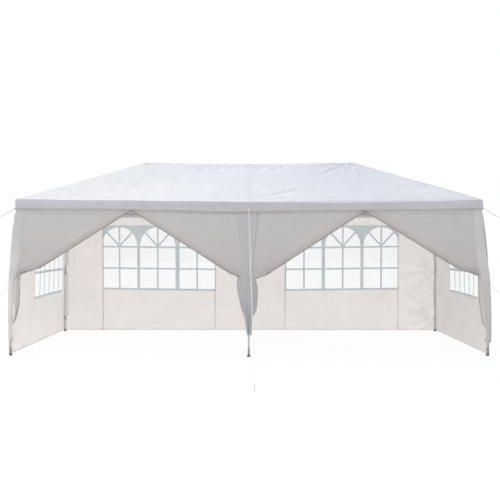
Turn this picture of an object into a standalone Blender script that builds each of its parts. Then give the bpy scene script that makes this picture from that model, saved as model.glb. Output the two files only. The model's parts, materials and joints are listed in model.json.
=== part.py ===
"""A 3 x 6 m party marquee: slip-joined tube frame, hipped canopy, walls, tied-back door curtains, guy ropes."""
import math

import bmesh
import bpy
from mathutils import Vector

# Canopy, fabric outside
CANOPY_X = 2.970
CANOPY_Y = 1.486
EAVE_Z = 1.980
EAVE_MID_DROP = 0.031
RIDGE_X = 1.500
RIDGE_Z = 2.605
RIDGE_MID_DROP = 0.025
VALANCE = 0.122
FABRIC = 0.004
SAG = 0.016

# Tube frame
TUBE_R = 0.0125
JOINT_R = 0.016
JOINT_ARM = 0.090
GAP = 0.0003
NODE_X = 2.936
NODE_Y = 1.452
MID_NODE_Y = 1.442
FOOT_X = 3.030
# The thin corner legs bow outwards: height and distance from the middle
LEG_BOW = ((1.85, 2.944), (1.60, 2.984), (1.30, 3.013), (1.00, 3.027), (0.60, 3.032))
FOOT_Y = 1.485
FRONT_MID_FOOT_Y = 1.610
FOOT_R = 0.023
FOOT_H = 0.029

# Walls and windows
WALL_TOP = 1.925
WALL_FOOT = 0.032
WALL_OFF = JOINT_R + GAP
PANE = 0.002
ARCH_W = 0.575
ARCH_TOP = 1.720
ARCH_FOOT = 0.695
ARCH_SPRING = 1.405
BAY_ARCHES = (-2.1255, -1.501, -0.866)
END_ARCHES = (-0.628, 0.0, 0.628)

# Guy ropes
ROPE_R = 0.003
KNOT_R = 0.008
PEG_R = 0.0045
PEG_H = 0.070
ROPE_TOP_Z = 1.868

COLOURS = {
    "canopy_fabric": (0.86, 0.88, 0.90, 1.0),
    "wall_fabric": (0.84, 0.81, 0.79, 1.0),
    "curtain_fabric": (0.76, 0.74, 0.74, 1.0),
    "window_film": (0.90, 0.92, 0.93, 0.35),
    "steel_tube": (0.70, 0.69, 0.67, 1.0),
    "steel_joint": (0.66, 0.66, 0.65, 1.0),
    "guy_cord": (0.90, 0.90, 0.89, 1.0),
}


def clear_scene():
    for obj in list(bpy.data.objects):
        bpy.data.objects.remove(obj, do_unlink=True)


def get_material(slot):
    mat = bpy.data.materials.get(slot)
    if mat is None:
        mat = bpy.data.materials.new(slot)
        mat.use_nodes = True
        shader = mat.node_tree.nodes["Principled BSDF"]
        shader.inputs["Base Color"].default_value = COLOURS[slot]
        shader.inputs["Roughness"].default_value = 0.6
    return mat


def add_object(name, bm, slot, smooth=False):
    bmesh.ops.recalc_face_normals(bm, faces=bm.faces)
    mesh = bpy.data.meshes.new(name)
    bm.to_mesh(mesh)
    bm.free()
    obj = bpy.data.objects.new(name, mesh)
    bpy.context.scene.collection.objects.link(obj)
    mesh.materials.append(get_material(slot))
    for face in mesh.polygons:
        face.use_smooth = smooth
    return obj


def apply_modifiers(obj):
    graph = bpy.context.evaluated_depsgraph_get()
    mesh = bpy.data.meshes.new_from_object(obj.evaluated_get(graph))
    old = obj.data
    obj.modifiers.clear()
    obj.data = mesh
    mesh.name = obj.name
    bpy.data.meshes.remove(old)


def boolean(obj, other, operation):
    mod = obj.modifiers.new(operation.lower(), "BOOLEAN")
    mod.operation = operation
    mod.solver = "EXACT"
    mod.object = other
    apply_modifiers(obj)
    bpy.data.objects.remove(other, do_unlink=True)


def loft(bm, loops):
    """Closed solid through loops of equal length, with a flat cap on each end."""
    rows = [[bm.verts.new(p) for p in loop] for loop in loops]
    for low, high in zip(rows, rows[1:]):
        for i in range(len(low)):
            j = (i + 1) % len(low)
            bm.faces.new((low[i], low[j], high[j], high[i]))
    bm.faces.new(rows[0][::-1])
    bm.faces.new(rows[-1])


def flat_ring(centre, radius, sides):
    """Level circle, so a leaning post still ends in level faces."""
    turn = 2 * math.pi / sides
    return [Vector((centre[0] + radius * math.cos(i * turn), centre[1] + radius * math.sin(i * turn), centre[2]))
            for i in range(sides)]


def rod_loops(start, end, radius, sides):
    axis = (end - start).normalized()
    side = axis.orthogonal().normalized()
    up = axis.cross(side)
    turn = 2 * math.pi / sides
    circle = [side * (radius * math.cos(i * turn)) + up * (radius * math.sin(i * turn)) for i in range(sides)]
    return [[start + c for c in circle], [end + c for c in circle]]


def add_rod(name, start, end, radius, slot, sides=16):
    bm = bmesh.new()
    loft(bm, rod_loops(start, end, radius, sides))
    return add_object(name, bm, slot, smooth=True)


def grid_solid(bm, near, far):
    """Closed slab between two point grids of the same shape."""
    a = [[bm.verts.new(p) for p in row] for row in near]
    b = [[bm.verts.new(p) for p in row] for row in far]
    rows, cols = len(a), len(a[0])
    for i in range(rows - 1):
        for j in range(cols - 1):
            for p, flip in ((a, False), (b, True)):
                for corners in ((p[i][j], p[i][j + 1], p[i + 1][j + 1]), (p[i][j], p[i + 1][j + 1], p[i + 1][j])):
                    bm.faces.new(corners[::-1] if flip else corners)
    for i in range(rows - 1):
        bm.faces.new((a[i][0], a[i + 1][0], b[i + 1][0], b[i][0]))
        bm.faces.new((a[i][-1], b[i][-1], b[i + 1][-1], a[i + 1][-1]))
    for j in range(cols - 1):
        bm.faces.new((a[0][j], b[0][j], b[0][j + 1], a[0][j + 1]))
        bm.faces.new((a[-1][j], a[-1][j + 1], b[-1][j + 1], b[-1][j]))


# Frame setting-out

def eave_z(share):
    return EAVE_Z - EAVE_MID_DROP * (1 - abs(share))


def ridge_z(share):
    return RIDGE_Z - RIDGE_MID_DROP * (1 - abs(share))


END_SLOPE = (RIDGE_Z - EAVE_Z) / (CANOPY_X - RIDGE_X)
DROP = (FABRIC + JOINT_R + 3 * GAP) * math.hypot(1, END_SLOPE)
CORNER_Z = EAVE_Z + (CANOPY_X - NODE_X) * END_SLOPE - DROP
MID_SLOPE = (ridge_z(0) - eave_z(0)) / CANOPY_Y
MID_Z = eave_z(0) + (CANOPY_Y - MID_NODE_Y) * MID_SLOPE - DROP


def at_height(table, z):
    """Read a falling table of (height, value) pairs."""
    if z >= table[0][0]:
        return table[0][1]
    for (z1, v1), (z0, v0) in zip(table, table[1:]):
        if z >= z0:
            return v0 + (v1 - v0) * (z - z0) / (z1 - z0)
    return table[-1][1]


def post_axis(column, row, z):
    """Centre of a leg at height z; column -1, 0, 1 from the left, row -1 front or 1 back."""
    foot_y = FRONT_MID_FOOT_Y if (column == 0 and row < 0) else FOOT_Y
    top, top_y = (CORNER_Z, NODE_Y) if column else (MID_Z, MID_NODE_Y)
    x = column * at_height(((CORNER_Z, NODE_X),) + LEG_BOW + ((0.0, FOOT_X),), z)
    y = row * (top_y + (foot_y - top_y) * (1 - z / top))
    return x, y


COLUMN_NAMES = {-1: "left", 0: "middle", 1: "right"}
ROW_NAMES = {-1: "front", 1: "back"}


def eave_node(column, row):
    if column == 0:
        return Vector((0, row * MID_NODE_Y, MID_Z))
    return Vector((column * NODE_X, row * NODE_Y, CORNER_Z))


def ridge_node(column):
    return Vector((column * RIDGE_X, 0, ridge_z(column) - DROP))


# Frame pieces

def build_legs():
    for row in (-1, 1):
        for column in (-1, 0, 1):
            top = eave_node(column, row).z - JOINT_ARM - GAP
            x0, y0 = post_axis(column, row, 0)
            loops = []
            for z, radius in ((0.0, FOOT_R), (FOOT_H - 0.006, FOOT_R), (FOOT_H, FOOT_R - 0.004)):
                loops.append(flat_ring((x0, y0, z), radius, 24))
            for z in [FOOT_H + 0.0005] + sorted(z for z, _ in LEG_BOW) + [top]:
                x, y = post_axis(column, row, z)
                loops.append(flat_ring((x, y, z), TUBE_R, 24))
            bm = bmesh.new()
            loft(bm, loops)
            add_object("leg_%s_%s" % (ROW_NAMES[row], COLUMN_NAMES[column]), bm, "steel_tube", smooth=True)


def build_joint(name, centre, targets, post=None):
    """Ball-cored socket joint with one arm towards each target, and a level-ended arm on a leg."""
    bm = bmesh.new()
    bmesh.ops.create_uvsphere(bm, u_segments=20, v_segments=12, radius=JOINT_R * 1.03)
    bmesh.ops.translate(bm, verts=bm.verts, vec=centre)
    obj = add_object(name, bm, "steel_joint", smooth=True)
    for target in targets:
        arm = bmesh.new()
        way = (target - centre).normalized()
        loft(arm, rod_loops(centre, centre + way * JOINT_ARM, JOINT_R, 18))
        boolean(obj, add_object("arm", arm, "steel_joint"), "UNION")
    if post:
        arm = bmesh.new()
        low = centre.z - JOINT_ARM
        x, y = post_axis(*post, low)
        loft(arm, [flat_ring((x, y, low), JOINT_R, 18), flat_ring(centre, JOINT_R, 18)])
        boolean(obj, add_object("arm", arm, "steel_joint"), "UNION")
    for face in obj.data.polygons:
        face.use_smooth = True
    return obj


def build_joints():
    for row in (-1, 1):
        for column in (-1, 1):
            here = eave_node(column, row)
            build_joint("corner_joint_%s_%s" % (ROW_NAMES[row], COLUMN_NAMES[column]), here,
                        [eave_node(0, row), eave_node(column, -row), ridge_node(column)], (column, row))
        build_joint("middle_joint_%s" % ROW_NAMES[row], eave_node(0, row),
                    [eave_node(-1, row), eave_node(1, row), ridge_node(0)], (0, row))
    for column in (-1, 1):
        build_joint("ridge_joint_%s" % COLUMN_NAMES[column], ridge_node(column),
                    [ridge_node(0), eave_node(column, -1), eave_node(column, 1)])
    build_joint("ridge_joint_middle", ridge_node(0),
                [ridge_node(-1), ridge_node(1), eave_node(0, -1), eave_node(0, 1)])


def bar_between(name, start, end):
    way = (end - start).normalized() * (JOINT_ARM + GAP)
    add_rod(name, start + way, end - way, TUBE_R, "steel_tube")


def build_bars():
    for row in (-1, 1):
        for column in (-1, 1):
            where = "%s_%s" % (ROW_NAMES[row], COLUMN_NAMES[column])
            bar_between("eave_rail_" + where, eave_node(column, row), eave_node(0, row))
            bar_between("hip_rafter_" + where, eave_node(column, row), ridge_node(column))
        bar_between("middle_rafter_" + ROW_NAMES[row], eave_node(0, row), ridge_node(0))
    for column in (-1, 1):
        bar_between("eave_rail_end_" + COLUMN_NAMES[column], eave_node(column, -1), eave_node(column, 1))
        bar_between("ridge_pole_" + COLUMN_NAMES[column], ridge_node(column), ridge_node(0))


# Canopy

def canopy_ring(t):
    """One level line round the canopy, t = 0 at the eave and 1 at the ridge."""
    half_x = CANOPY_X + (RIDGE_X - CANOPY_X) * t
    half_y = CANOPY_Y * (1 - t)
    points = []
    long_steps, short_steps = 12, 6

    def long_side(share, row):
        low, high = eave_z(share), ridge_z(share)
        sag = SAG * math.sin(math.pi * t) * math.sin(math.pi * abs(share))
        return Vector((share * half_x, row * half_y, low + (high - low) * t - sag))

    def end_side(share, column):
        sag = SAG * math.sin(math.pi * t) * math.cos(math.pi * share / 2)
        return Vector((column * half_x, share * half_y, EAVE_Z + (RIDGE_Z - EAVE_Z) * t - sag))

    for i in range(long_steps):
        points.append(long_side(-1 + 2 * i / long_steps, -1))
    for i in range(short_steps):
        points.append(end_side(-1 + 2 * i / short_steps, 1))
    for i in range(long_steps):
        points.append(long_side(1 - 2 * i / long_steps, 1))
    for i in range(short_steps):
        points.append(end_side(1 - 2 * i / short_steps, -1))
    return points


def build_canopy():
    bm = bmesh.new()
    eave = canopy_ring(0)
    rings = [[p - Vector((0, 0, VALANCE)) for p in eave]]
    rings += [canopy_ring(k / 5) for k in range(6)]
    rows = [[bm.verts.new(p) for p in ring] for ring in rings]
    for low, high in zip(rows, rows[1:]):
        for i in range(len(low)):
            j = (i + 1) % len(low)
            bm.faces.new((low[i], low[j], high[j], high[i]))
    bmesh.ops.remove_doubles(bm, verts=bm.verts, dist=0.0001)
    bmesh.ops.triangulate(bm, faces=[f for f in bm.faces if abs(f.normal.z) > 0.2])
    obj = add_object("canopy", bm, "canopy_fabric")
    if obj.data.polygons[0].normal.dot(obj.data.polygons[0].center * Vector((1, 1, 0))) < 0:
        obj.data.flip_normals()
    mod = obj.modifiers.new("thickness", "SOLIDIFY")
    mod.thickness = FABRIC
    mod.offset = -1
    mod.use_even_offset = True
    apply_modifiers(obj)


# Walls, each hung outside the legs and inside the valance

def arch_outline(width, foot, spring, top, steps=12):
    half = width / 2
    points = [(-half, foot), (half, foot)]
    for i in range(steps + 1):
        a = math.pi * i / steps
        points.append((half * math.cos(a), spring + (top - spring) * math.sin(a)))
    return points


def cut_arches(obj, centres, along, across):
    """Cut one arch through the wall at each centre; along is the wall's direction, across runs through it."""
    low, high = across
    for centre in centres:
        outline = arch_outline(ARCH_W, ARCH_FOOT, ARCH_SPRING, ARCH_TOP)
        bm = bmesh.new()
        loops = []
        for depth in (low, high):
            if along == "x":
                loops.append([Vector((centre + p, depth, q)) for p, q in outline])
            else:
                loops.append([Vector((depth, centre + p, q)) for p, q in outline])
        loft(bm, loops)
        cutter = add_object("cutter", bm, "wall_fabric")
        cutter.hide_render = True
        cutter.display_type = "WIRE"
        boolean(obj, cutter, "DIFFERENCE")


def steps_between(low, high, count):
    return [low + (high - low) * i / count for i in range(count + 1)]


def build_back_wall(side):
    def point(share, z, off):
        x, y = post_axis(1, 1, z)
        inner, outer = 0.001, x + WALL_OFF - 0.0015
        return Vector((side * (inner + (outer - inner) * share), y + WALL_OFF + off, z))

    def slab(x_shares, heights, low, high):
        near = [[point(s, z, low) for s in x_shares] for z in heights]
        far = [[point(s, z, high) for s in x_shares] for z in heights]
        bm = bmesh.new()
        grid_solid(bm, near, far)
        return bm

    name = COLUMN_NAMES[side]
    rows = [WALL_FOOT] + sorted(z for z, _ in LEG_BOW) + [WALL_TOP]
    wall = add_object("back_wall_" + name, slab((0, 1), rows, 0, FABRIC), "wall_fabric")
    centres = [side * -c for c in BAY_ARCHES]
    cut_arches(wall, centres, "x", (1.3, 1.7))
    low_share = (min(abs(c) for c in centres) - ARCH_W / 2 - 0.025) / 3.0
    high_share = (max(abs(c) for c in centres) + ARCH_W / 2 + 0.025) / 3.0
    heights = (ARCH_FOOT - 0.025, ARCH_TOP + 0.025)
    add_object("back_window_" + name,
               slab((low_share, high_share), heights, FABRIC + GAP, FABRIC + GAP + PANE), "window_film")


BELLY = {-1: (0.130, -0.038, 0.028), 1: (0.080, 0.046, -0.026)}


def belly(side, y, z):
    """How far the wind holds an end wall off its flat line, towards +X on both ends."""
    base, lean, curve = BELLY[side]
    across = 1 - min(1.0, abs(y) / 1.40) ** 6
    up = 1 - min(1.0, abs(z - 0.94) / 0.90) ** 2.6
    return (base + lean * y + curve * y * y) * across * up


def build_end_wall(side):
    def point(line, z, off):
        x, y = post_axis(1, 1, z)
        edge = y + WALL_OFF - 0.0006
        along = max(-edge, min(edge, line))
        return Vector((side * (x + WALL_OFF + off) + belly(side, along, z), along, z))

    def slab(lines, heights, low, high):
        near = [[point(s, z, low) for s in lines] for z in heights]
        far = [[point(s, z, high) for s in lines] for z in heights]
        bm = bmesh.new()
        grid_solid(bm, near, far)
        return bm

    name = COLUMN_NAMES[side]
    half = END_ARCHES[-1] + ARCH_W / 2 + 0.025
    pane_y = steps_between(-half, half, 8)
    pane_z = steps_between(ARCH_FOOT - 0.025, ARCH_TOP + 0.025, 6)
    lines = [-2.0, -1.40, -1.17] + pane_y + [1.17, 1.40, 2.0]
    heights = [WALL_FOOT, 0.24, 0.45] + pane_z + [1.85, WALL_TOP]
    wall = add_object("end_wall_" + name, slab(lines, heights, 0, FABRIC), "wall_fabric")
    span = (2.6, 3.4) if side > 0 else (-3.4, -2.6)
    cut_arches(wall, END_ARCHES, "y", span)
    add_object("end_window_" + name, slab(pane_y, pane_z, FABRIC + GAP, FABRIC + GAP + PANE), "window_film")


# Door curtains: two halves a bay, open from the apex down and tied back to the legs

OUTER_CORNER = {
    -1: ((1.925, 2.957), (1.86, 2.960), (1.787, 2.984), (1.596, 3.007), (1.342, 3.029), (1.024, 3.044),
         (0.706, 3.053), (0.30, 3.044)),
    1: ((1.925, 2.957), (1.86, 2.960), (1.786, 2.969), (1.595, 2.982), (1.342, 3.012), (1.025, 3.046),
        (0.835, 3.063), (0.581, 3.070), (0.175, 3.067)),
}
INNER_CORNER = {
    -1: ((1.925, 1.497), (1.84, 1.497), (1.109, 2.655), (1.068, 2.782), (1.03, 2.900), (0.833, 2.912),
         (0.642, 2.923), (0.477, 2.974), (0.30, 3.000)),
    1: ((1.925, 1.482), (1.828, 1.482), (1.109, 2.640), (1.060, 2.782), (1.01, 2.900), (0.898, 2.914),
        (0.708, 2.933), (0.517, 2.965), (0.390, 2.985), (0.175, 3.020)),
}
INNER_MIDDLE = {
    -1: ((1.925, 1.491), (1.84, 1.491), (1.10, 0.330), (1.043, 0.239), (1.003, 0.132), (0.834, 0.133),
         (0.643, 0.090), (0.453, 0.048), (0.26, 0.028)),
    1: ((1.925, 1.476), (1.828, 1.476), (1.09, 0.330), (1.017, 0.218), (0.982, 0.092), (0.834, 0.117),
        (0.707, 0.117), (0.554, 0.072), (0.478, 0.041), (0.26, 0.028)),
}
TIE_Z = 1.02


def curtain_line(x, z):
    """Inner face of the door curtains: hung against the front of the legs."""
    middle = post_axis(0, -1, z)[1]
    corner_x, corner = post_axis(1, -1, z)
    part = min(1.0, abs(x) / corner_x)
    return middle + (corner - middle) * part - WALL_OFF


def curtain_depth(z):
    if z > 1.30:
        return FABRIC
    if z > TIE_Z:
        return FABRIC + (0.026 - FABRIC) * (1.30 - z) / (1.30 - TIE_Z)
    return 0.026 + 0.018 * min(1.0, (TIE_Z - z) / 0.15)


def build_curtain(name, side, inner, outer):
    foot = max(inner[-1][0], outer[-1][0]) if outer[-1][0] > 0 else inner[-1][0]
    heights = sorted({round(z, 4) for z, _ in inner if z >= foot} | {foot, 1.60, 1.30, 1.20, 0.72}, reverse=True)
    steps = 8
    loops = []
    for z in heights:
        a, b = at_height(inner, z), at_height(outer, z)
        depth = curtain_depth(z)
        back, front = [], []
        for i in range(steps + 1):
            x = side * (a + (b - a) * i / steps)
            bulge = depth if z > TIE_Z else depth * (0.45 + 0.55 * math.sin(math.pi * (0.12 + 0.76 * i / steps)))
            back.append(Vector((x, curtain_line(x, z), z)))
            front.append(Vector((x, curtain_line(x, z) - bulge, z)))
        loops.append(back + front[::-1])
    bm = bmesh.new()
    loft(bm, loops[::-1])
    add_object(name, bm, "curtain_fabric")


def build_curtains():
    seam = ((1.925, 0.001), (0.26, 0.001))
    for side in (-1, 1):
        where = COLUMN_NAMES[side]
        build_curtain("door_curtain_%s_outer" % where, side, INNER_CORNER[side], OUTER_CORNER[side])
        build_curtain("door_curtain_%s_inner" % where, side, INNER_MIDDLE[side], seam)


# Guy ropes, each knotted at the valance and tied round its ground peg

ROPES = (
    ("guy_rope_front_left", (-CANOPY_X, -CANOPY_Y), (-5.670, -2.486)),
    ("guy_rope_front_middle", (0.0, -CANOPY_Y), (0.071, -3.973)),
    ("guy_rope_front_right", (CANOPY_X, -CANOPY_Y), (5.670, -2.486)),
    ("guy_rope_back_left", (-CANOPY_X, CANOPY_Y), (-4.970, 3.036)),
    ("guy_rope_back_middle", (0.0, CANOPY_Y), (0.0, 3.973)),
    ("guy_rope_back_right", (CANOPY_X, CANOPY_Y), (4.970, 3.036)),
)


def build_ropes():
    for name, top, foot in ROPES:
        peg_foot = Vector((foot[0], foot[1], 0))
        away = Vector((foot[0] - top[0], foot[1] - top[1], 0)).normalized()
        push = Vector((math.copysign(1, top[0]) if top[0] else 0, math.copysign(1, top[1]), 0)).normalized()
        start = Vector((top[0], top[1], ROPE_TOP_Z)) + push * (KNOT_R + GAP)
        tie = peg_foot - away * 0.008 + Vector((0, 0, 0.040))
        bm = bmesh.new()
        loft(bm, rod_loops(start, tie, ROPE_R, 10))
        rope = add_object(name, bm, "guy_cord", smooth=True)
        knot = bmesh.new()
        bmesh.ops.create_uvsphere(knot, u_segments=16, v_segments=10, radius=KNOT_R)
        bmesh.ops.translate(knot, verts=knot.verts, vec=start)
        boolean(rope, add_object("knot", knot, "guy_cord"), "UNION")
        peg = bmesh.new()
        lean = away * 0.012
        loft(peg, [flat_ring(peg_foot - lean, PEG_R, 12),
                   flat_ring(peg_foot - lean + lean * 0.8 + Vector((0, 0, PEG_H)), PEG_R, 12)])
        boolean(rope, add_object("peg", peg, "guy_cord"), "UNION")
        for face in rope.data.polygons:
            face.use_smooth = True


def main():
    clear_scene()
    build_legs()
    build_joints()
    build_bars()
    build_canopy()
    for side in (-1, 1):
        build_back_wall(side)
        build_end_wall(side)
    build_curtains()
    build_ropes()


main()
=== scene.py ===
import bpy
import bmesh
import json
import math
from mathutils import Matrix, Vector, noise

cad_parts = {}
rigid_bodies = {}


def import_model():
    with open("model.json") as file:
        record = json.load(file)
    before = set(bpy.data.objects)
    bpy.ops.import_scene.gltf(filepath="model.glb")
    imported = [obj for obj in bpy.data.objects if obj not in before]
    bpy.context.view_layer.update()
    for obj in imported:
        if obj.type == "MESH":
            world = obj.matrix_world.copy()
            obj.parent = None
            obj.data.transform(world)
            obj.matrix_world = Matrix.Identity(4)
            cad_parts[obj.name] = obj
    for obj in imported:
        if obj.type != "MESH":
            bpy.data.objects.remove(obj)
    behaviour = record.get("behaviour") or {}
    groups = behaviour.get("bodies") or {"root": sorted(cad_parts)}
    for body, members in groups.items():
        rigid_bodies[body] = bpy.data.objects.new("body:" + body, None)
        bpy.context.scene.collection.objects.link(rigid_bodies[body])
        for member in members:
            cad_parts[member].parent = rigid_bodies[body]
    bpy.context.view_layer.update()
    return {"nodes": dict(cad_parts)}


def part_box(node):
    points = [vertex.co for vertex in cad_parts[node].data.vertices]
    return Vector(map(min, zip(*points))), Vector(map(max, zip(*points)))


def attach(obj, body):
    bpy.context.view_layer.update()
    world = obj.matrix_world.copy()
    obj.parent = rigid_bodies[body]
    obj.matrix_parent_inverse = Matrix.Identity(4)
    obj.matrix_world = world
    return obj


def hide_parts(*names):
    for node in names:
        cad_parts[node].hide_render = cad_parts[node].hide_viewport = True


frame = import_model()
print("frame loaded:", len(frame["nodes"]), "nodes")


def addObject(name, data):
    made = bpy.data.objects.new(name, data)
    bpy.context.scene.collection.objects.link(made)
    return made


def turnTo(thing, way):
    # point a camera or a lamp along a direction
    thing.rotation_mode = "QUATERNION"
    thing.rotation_quaternion = Vector(way).to_track_quat("-Z", "Y")


# Camera, fitted to the tent's corners, ridge ends and feet
viewSettings = {
    "place": (0.0622, -11.7639, 1.392), "lookAlong": (-0.00457, 1.0, -0.00489),
    "focalPixels": 809.14, "framePixels": 500.0, "filmWidth": 36.0,
}


def setUpCamera(s):
    data = bpy.data.cameras.new("photoCamera")
    data.sensor_width = s["filmWidth"]
    data.lens = s["focalPixels"] / s["framePixels"] * s["filmWidth"]
    camera = addObject("photoCamera", data)
    camera.location = s["place"]
    turnTo(camera, s["lookAlong"])
    bpy.context.scene.camera = camera


setUpCamera(viewSettings)
print("camera set")

# Setting-out that several pieces share, in metres
tent = {
    "halfX": 2.970, "halfY": 1.486,          # canopy, outside
    "eaveCorner": 1.980, "eaveMiddle": 1.949,
    "ridgeX": 1.500, "ridgeEnd": 2.605, "ridgeMiddle": 2.580,
    "jointX": 2.936, "jointY": 1.452, "middleJointY": 1.442,
    "jointZ": 1.9717, "middleJointZ": 1.9456, "ridgeJointZ": 2.5823, "ridgeMiddleJointZ": 2.5573,
    # how far out a corner leg stands, by height
    "legBow": ((1.9717, 2.936), (1.85, 2.944), (1.60, 2.984), (1.30, 3.013), (1.00, 3.027), (0.60, 3.032),
               (0.0, 3.030)),
    "footY": 1.485, "frontMiddleFootY": 1.610,
    "joint": 0.016, "seat": 0.0163,          # seat: leg centre to the cloth's inner face
    "cloth": 0.0007,
}
side = {-1: "left", 0: "middle", 1: "right"}
rank = {-1: "front", 1: "back"}


def joined(*words):
    # such as FrontLeft, for the names of pieces
    return "".join(word.capitalize() for word in words)


def atHeight(table, z):
    # read a falling table of (height, value) pairs
    if z >= table[0][0]:
        return table[0][1]
    for (z1, v1), (z0, v0) in zip(table, table[1:]):
        if z >= z0:
            return v0 + (v1 - v0) * (z - z0) / (z1 - z0)
    return table[-1][1]


def alongTable(table, x):
    # read a rising table in the same way
    return atHeight(table[::-1], x)


def legAt(column, row, z):
    footY = tent["frontMiddleFootY"] if (column == 0 and row < 0) else tent["footY"]
    topZ, topY = (tent["jointZ"], tent["jointY"]) if column else (tent["middleJointZ"], tent["middleJointY"])
    return column * atHeight(tent["legBow"], z), row * (topY + (footY - topY) * (1 - z / topZ))


def smooth(t):
    t = max(0.0, min(1.0, t))
    return t * t * (3 - 2 * t)


def ripple(x, y, scale, seed=0.0):
    return noise.noise(Vector((x * scale, y * scale, seed)))


# Materials

def feed(tree, node, values):
    # set a node's properties and inputs; a value that is another node's output is linked
    for key, value in values.items():
        if isinstance(value, bpy.types.NodeSocket):
            tree.links.new(value, node.inputs[key])
        elif isinstance(key, str) and hasattr(node, key):
            setattr(node, key, value)
        else:
            node.inputs[key].default_value = value
    return node


def addNode(tree, kind, inputs=None, **values):
    return feed(tree, tree.nodes.new(kind), {**values, **(inputs or {})})


def newMaterial(name):
    mat = bpy.data.materials.new(name)
    mat.use_nodes = True
    tree = mat.node_tree
    return mat, tree, tree.nodes["Principled BSDF"], tree.nodes["Material Output"]


def mixInto(tree, out, share, one, two):
    mix = addNode(tree, "ShaderNodeMixShader", {0: share, 1: one, 2: two})
    tree.links.new(mix.outputs["Shader"], out.inputs["Surface"])


def letThrough(tree, shader, out, share, shade, normal=None):
    # that share of the light passes through the material
    glow = addNode(tree, "ShaderNodeBsdfTranslucent", normal, Color=shade)
    mixInto(tree, out, share, shader.outputs["BSDF"], glow.outputs["BSDF"])


def noiseOf(tree, place, scale, detail, roughness=0.5):
    return addNode(tree, "ShaderNodeTexNoise", Vector=place, Scale=scale, Detail=detail,
                   Roughness=roughness).outputs["Fac"]


def mapRange(tree, value, source=(0.0, 1.0), target=(0.0, 1.0), **more):
    limits = {"From Min": source[0], "From Max": source[1], "To Min": target[0], "To Max": target[1]}
    return addNode(tree, "ShaderNodeMapRange", {**limits, "Value": value}, **more).outputs["Result"]


def bumpOf(tree, height, strength, depth, under=None):
    # the normal of a height, on top of another bump's
    bump = addNode(tree, "ShaderNodeBump", under, Strength=strength, Distance=depth, Height=height)
    return {"Normal": bump.outputs["Normal"]}


def cutPlace(tree):
    return addNode(tree, "ShaderNodeUVMap", uv_map="cut").outputs["UV"]


def objectPlace(tree):
    return addNode(tree, "ShaderNodeTexCoord").outputs["Object"]


def toneRamp(tree, source, colour, darker, lighter):
    ramp = addNode(tree, "ShaderNodeValToRGB", Fac=source)
    low, high = ramp.color_ramp.elements
    low.position, high.position = 0.30, 0.72
    low.color = (*[c * (1 - darker) for c in colour], 1)
    high.color = (*[min(1.0, c * (1 + lighter)) for c in colour], 1)
    return ramp.outputs["Color"]


def paintedLightTint(tree, shade, place, axis, stops):
    # the shade times a tint that drifts along one axis, for painted light and shade; stops are (metres,
    # colour or grey), rising
    low, high = stops[0][0], stops[-1][0]
    split = addNode(tree, "ShaderNodeSeparateXYZ", Vector=place)
    tint = addNode(tree, "ShaderNodeValToRGB", Fac=mapRange(tree, split.outputs[axis], (low, high)))
    tint.color_ramp.interpolation = "EASE"
    for at, _ in stops[1:-1]:
        tint.color_ramp.elements.new((at - low) / (high - low))
    for element, (_, value) in zip(tint.color_ramp.elements, stops):
        element.color = (*(value if isinstance(value, tuple) else [value] * 3), 1)
    times = addNode(tree, "ShaderNodeVectorMath", {0: shade, 1: tint.outputs["Color"]}, operation="MULTIPLY")
    return times.outputs["Vector"]


# each ray fan: its centre along the ridge, its reach and its strength; the rows run off the hips
pullShape = {
    "rays": ((tent["ridgeX"], 0.80, 1.0), (0.0, 0.70, 0.8)), "rayNear": 0.10, "rayCount": 9.0,
    "rowFade": (0.04, 0.42), "rowStrength": 0.55, "rowSteps": (19.0, 4.0, 3.0), "slopeSeeds": (3.1, 7.3),
}


def pullLines(tree, uv, s):
    # fine tension lines in plan metres: rays from the ridge ends and the middle, and rows off the hips
    def calc(operation, *terms):
        return addNode(tree, "ShaderNodeMath", dict(enumerate(terms)), operation=operation).outputs["Value"]

    def product(first, *others):
        for other in others:
            first = calc("MULTIPLY", first, other)
        return first

    def fade(value, low, high):
        return mapRange(tree, value, (low, high), (1.0, 0.0), interpolation_type="SMOOTHSTEP")

    def lines(*place):
        point = addNode(tree, "ShaderNodeCombineXYZ", dict(enumerate(place)))
        return calc("SUBTRACT", noiseOf(tree, point.outputs["Vector"], 1.0, 2.0), 0.5)

    split = addNode(tree, "ShaderNodeSeparateXYZ", Vector=uv)
    u, v = split.outputs["X"], split.outputs["Y"]
    farU, farV = calc("ABSOLUTE", u), calc("ABSOLUTE", v)
    slope = calc("ADD", *[product(calc("SIGN", way), seed) for way, seed in zip((u, v), s["slopeSeeds"])])
    total = None
    for centre, reach, strength in s["rays"]:
        dx = calc("SUBTRACT", farU, centre)
        r = calc("SQRT", calc("ADD", product(dx, dx), product(v, v)))
        ray = lines(product(calc("ARCTAN2", farV, dx), s["rayCount"]), r, slope)
        part = product(ray, fade(r, s["rayNear"], reach), strength)
        total = calc("ADD", total, part) if total else part
    endShare = calc("DIVIDE", calc("SUBTRACT", tent["halfX"], farU), tent["halfX"] - tent["ridgeX"])
    across = calc("SUBTRACT", endShare, calc("SUBTRACT", 1.0, calc("DIVIDE", farV, tent["halfY"])))
    onLong = calc("GREATER_THAN", across, 0.0)
    onEnd = calc("SUBTRACT", 1.0, onLong)
    one = calc("ADD", product(u, onLong), product(v, onEnd))
    two = calc("ADD", product(v, onLong), product(u, onEnd))
    fine, lean, coarse = s["rowSteps"]
    row = lines(calc("ADD", product(one, fine), product(two, lean)), product(two, coarse), slope)
    return calc("ADD", total, product(row, fade(calc("ABSOLUTE", across), *s["rowFade"]), s["rowStrength"]))


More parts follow.
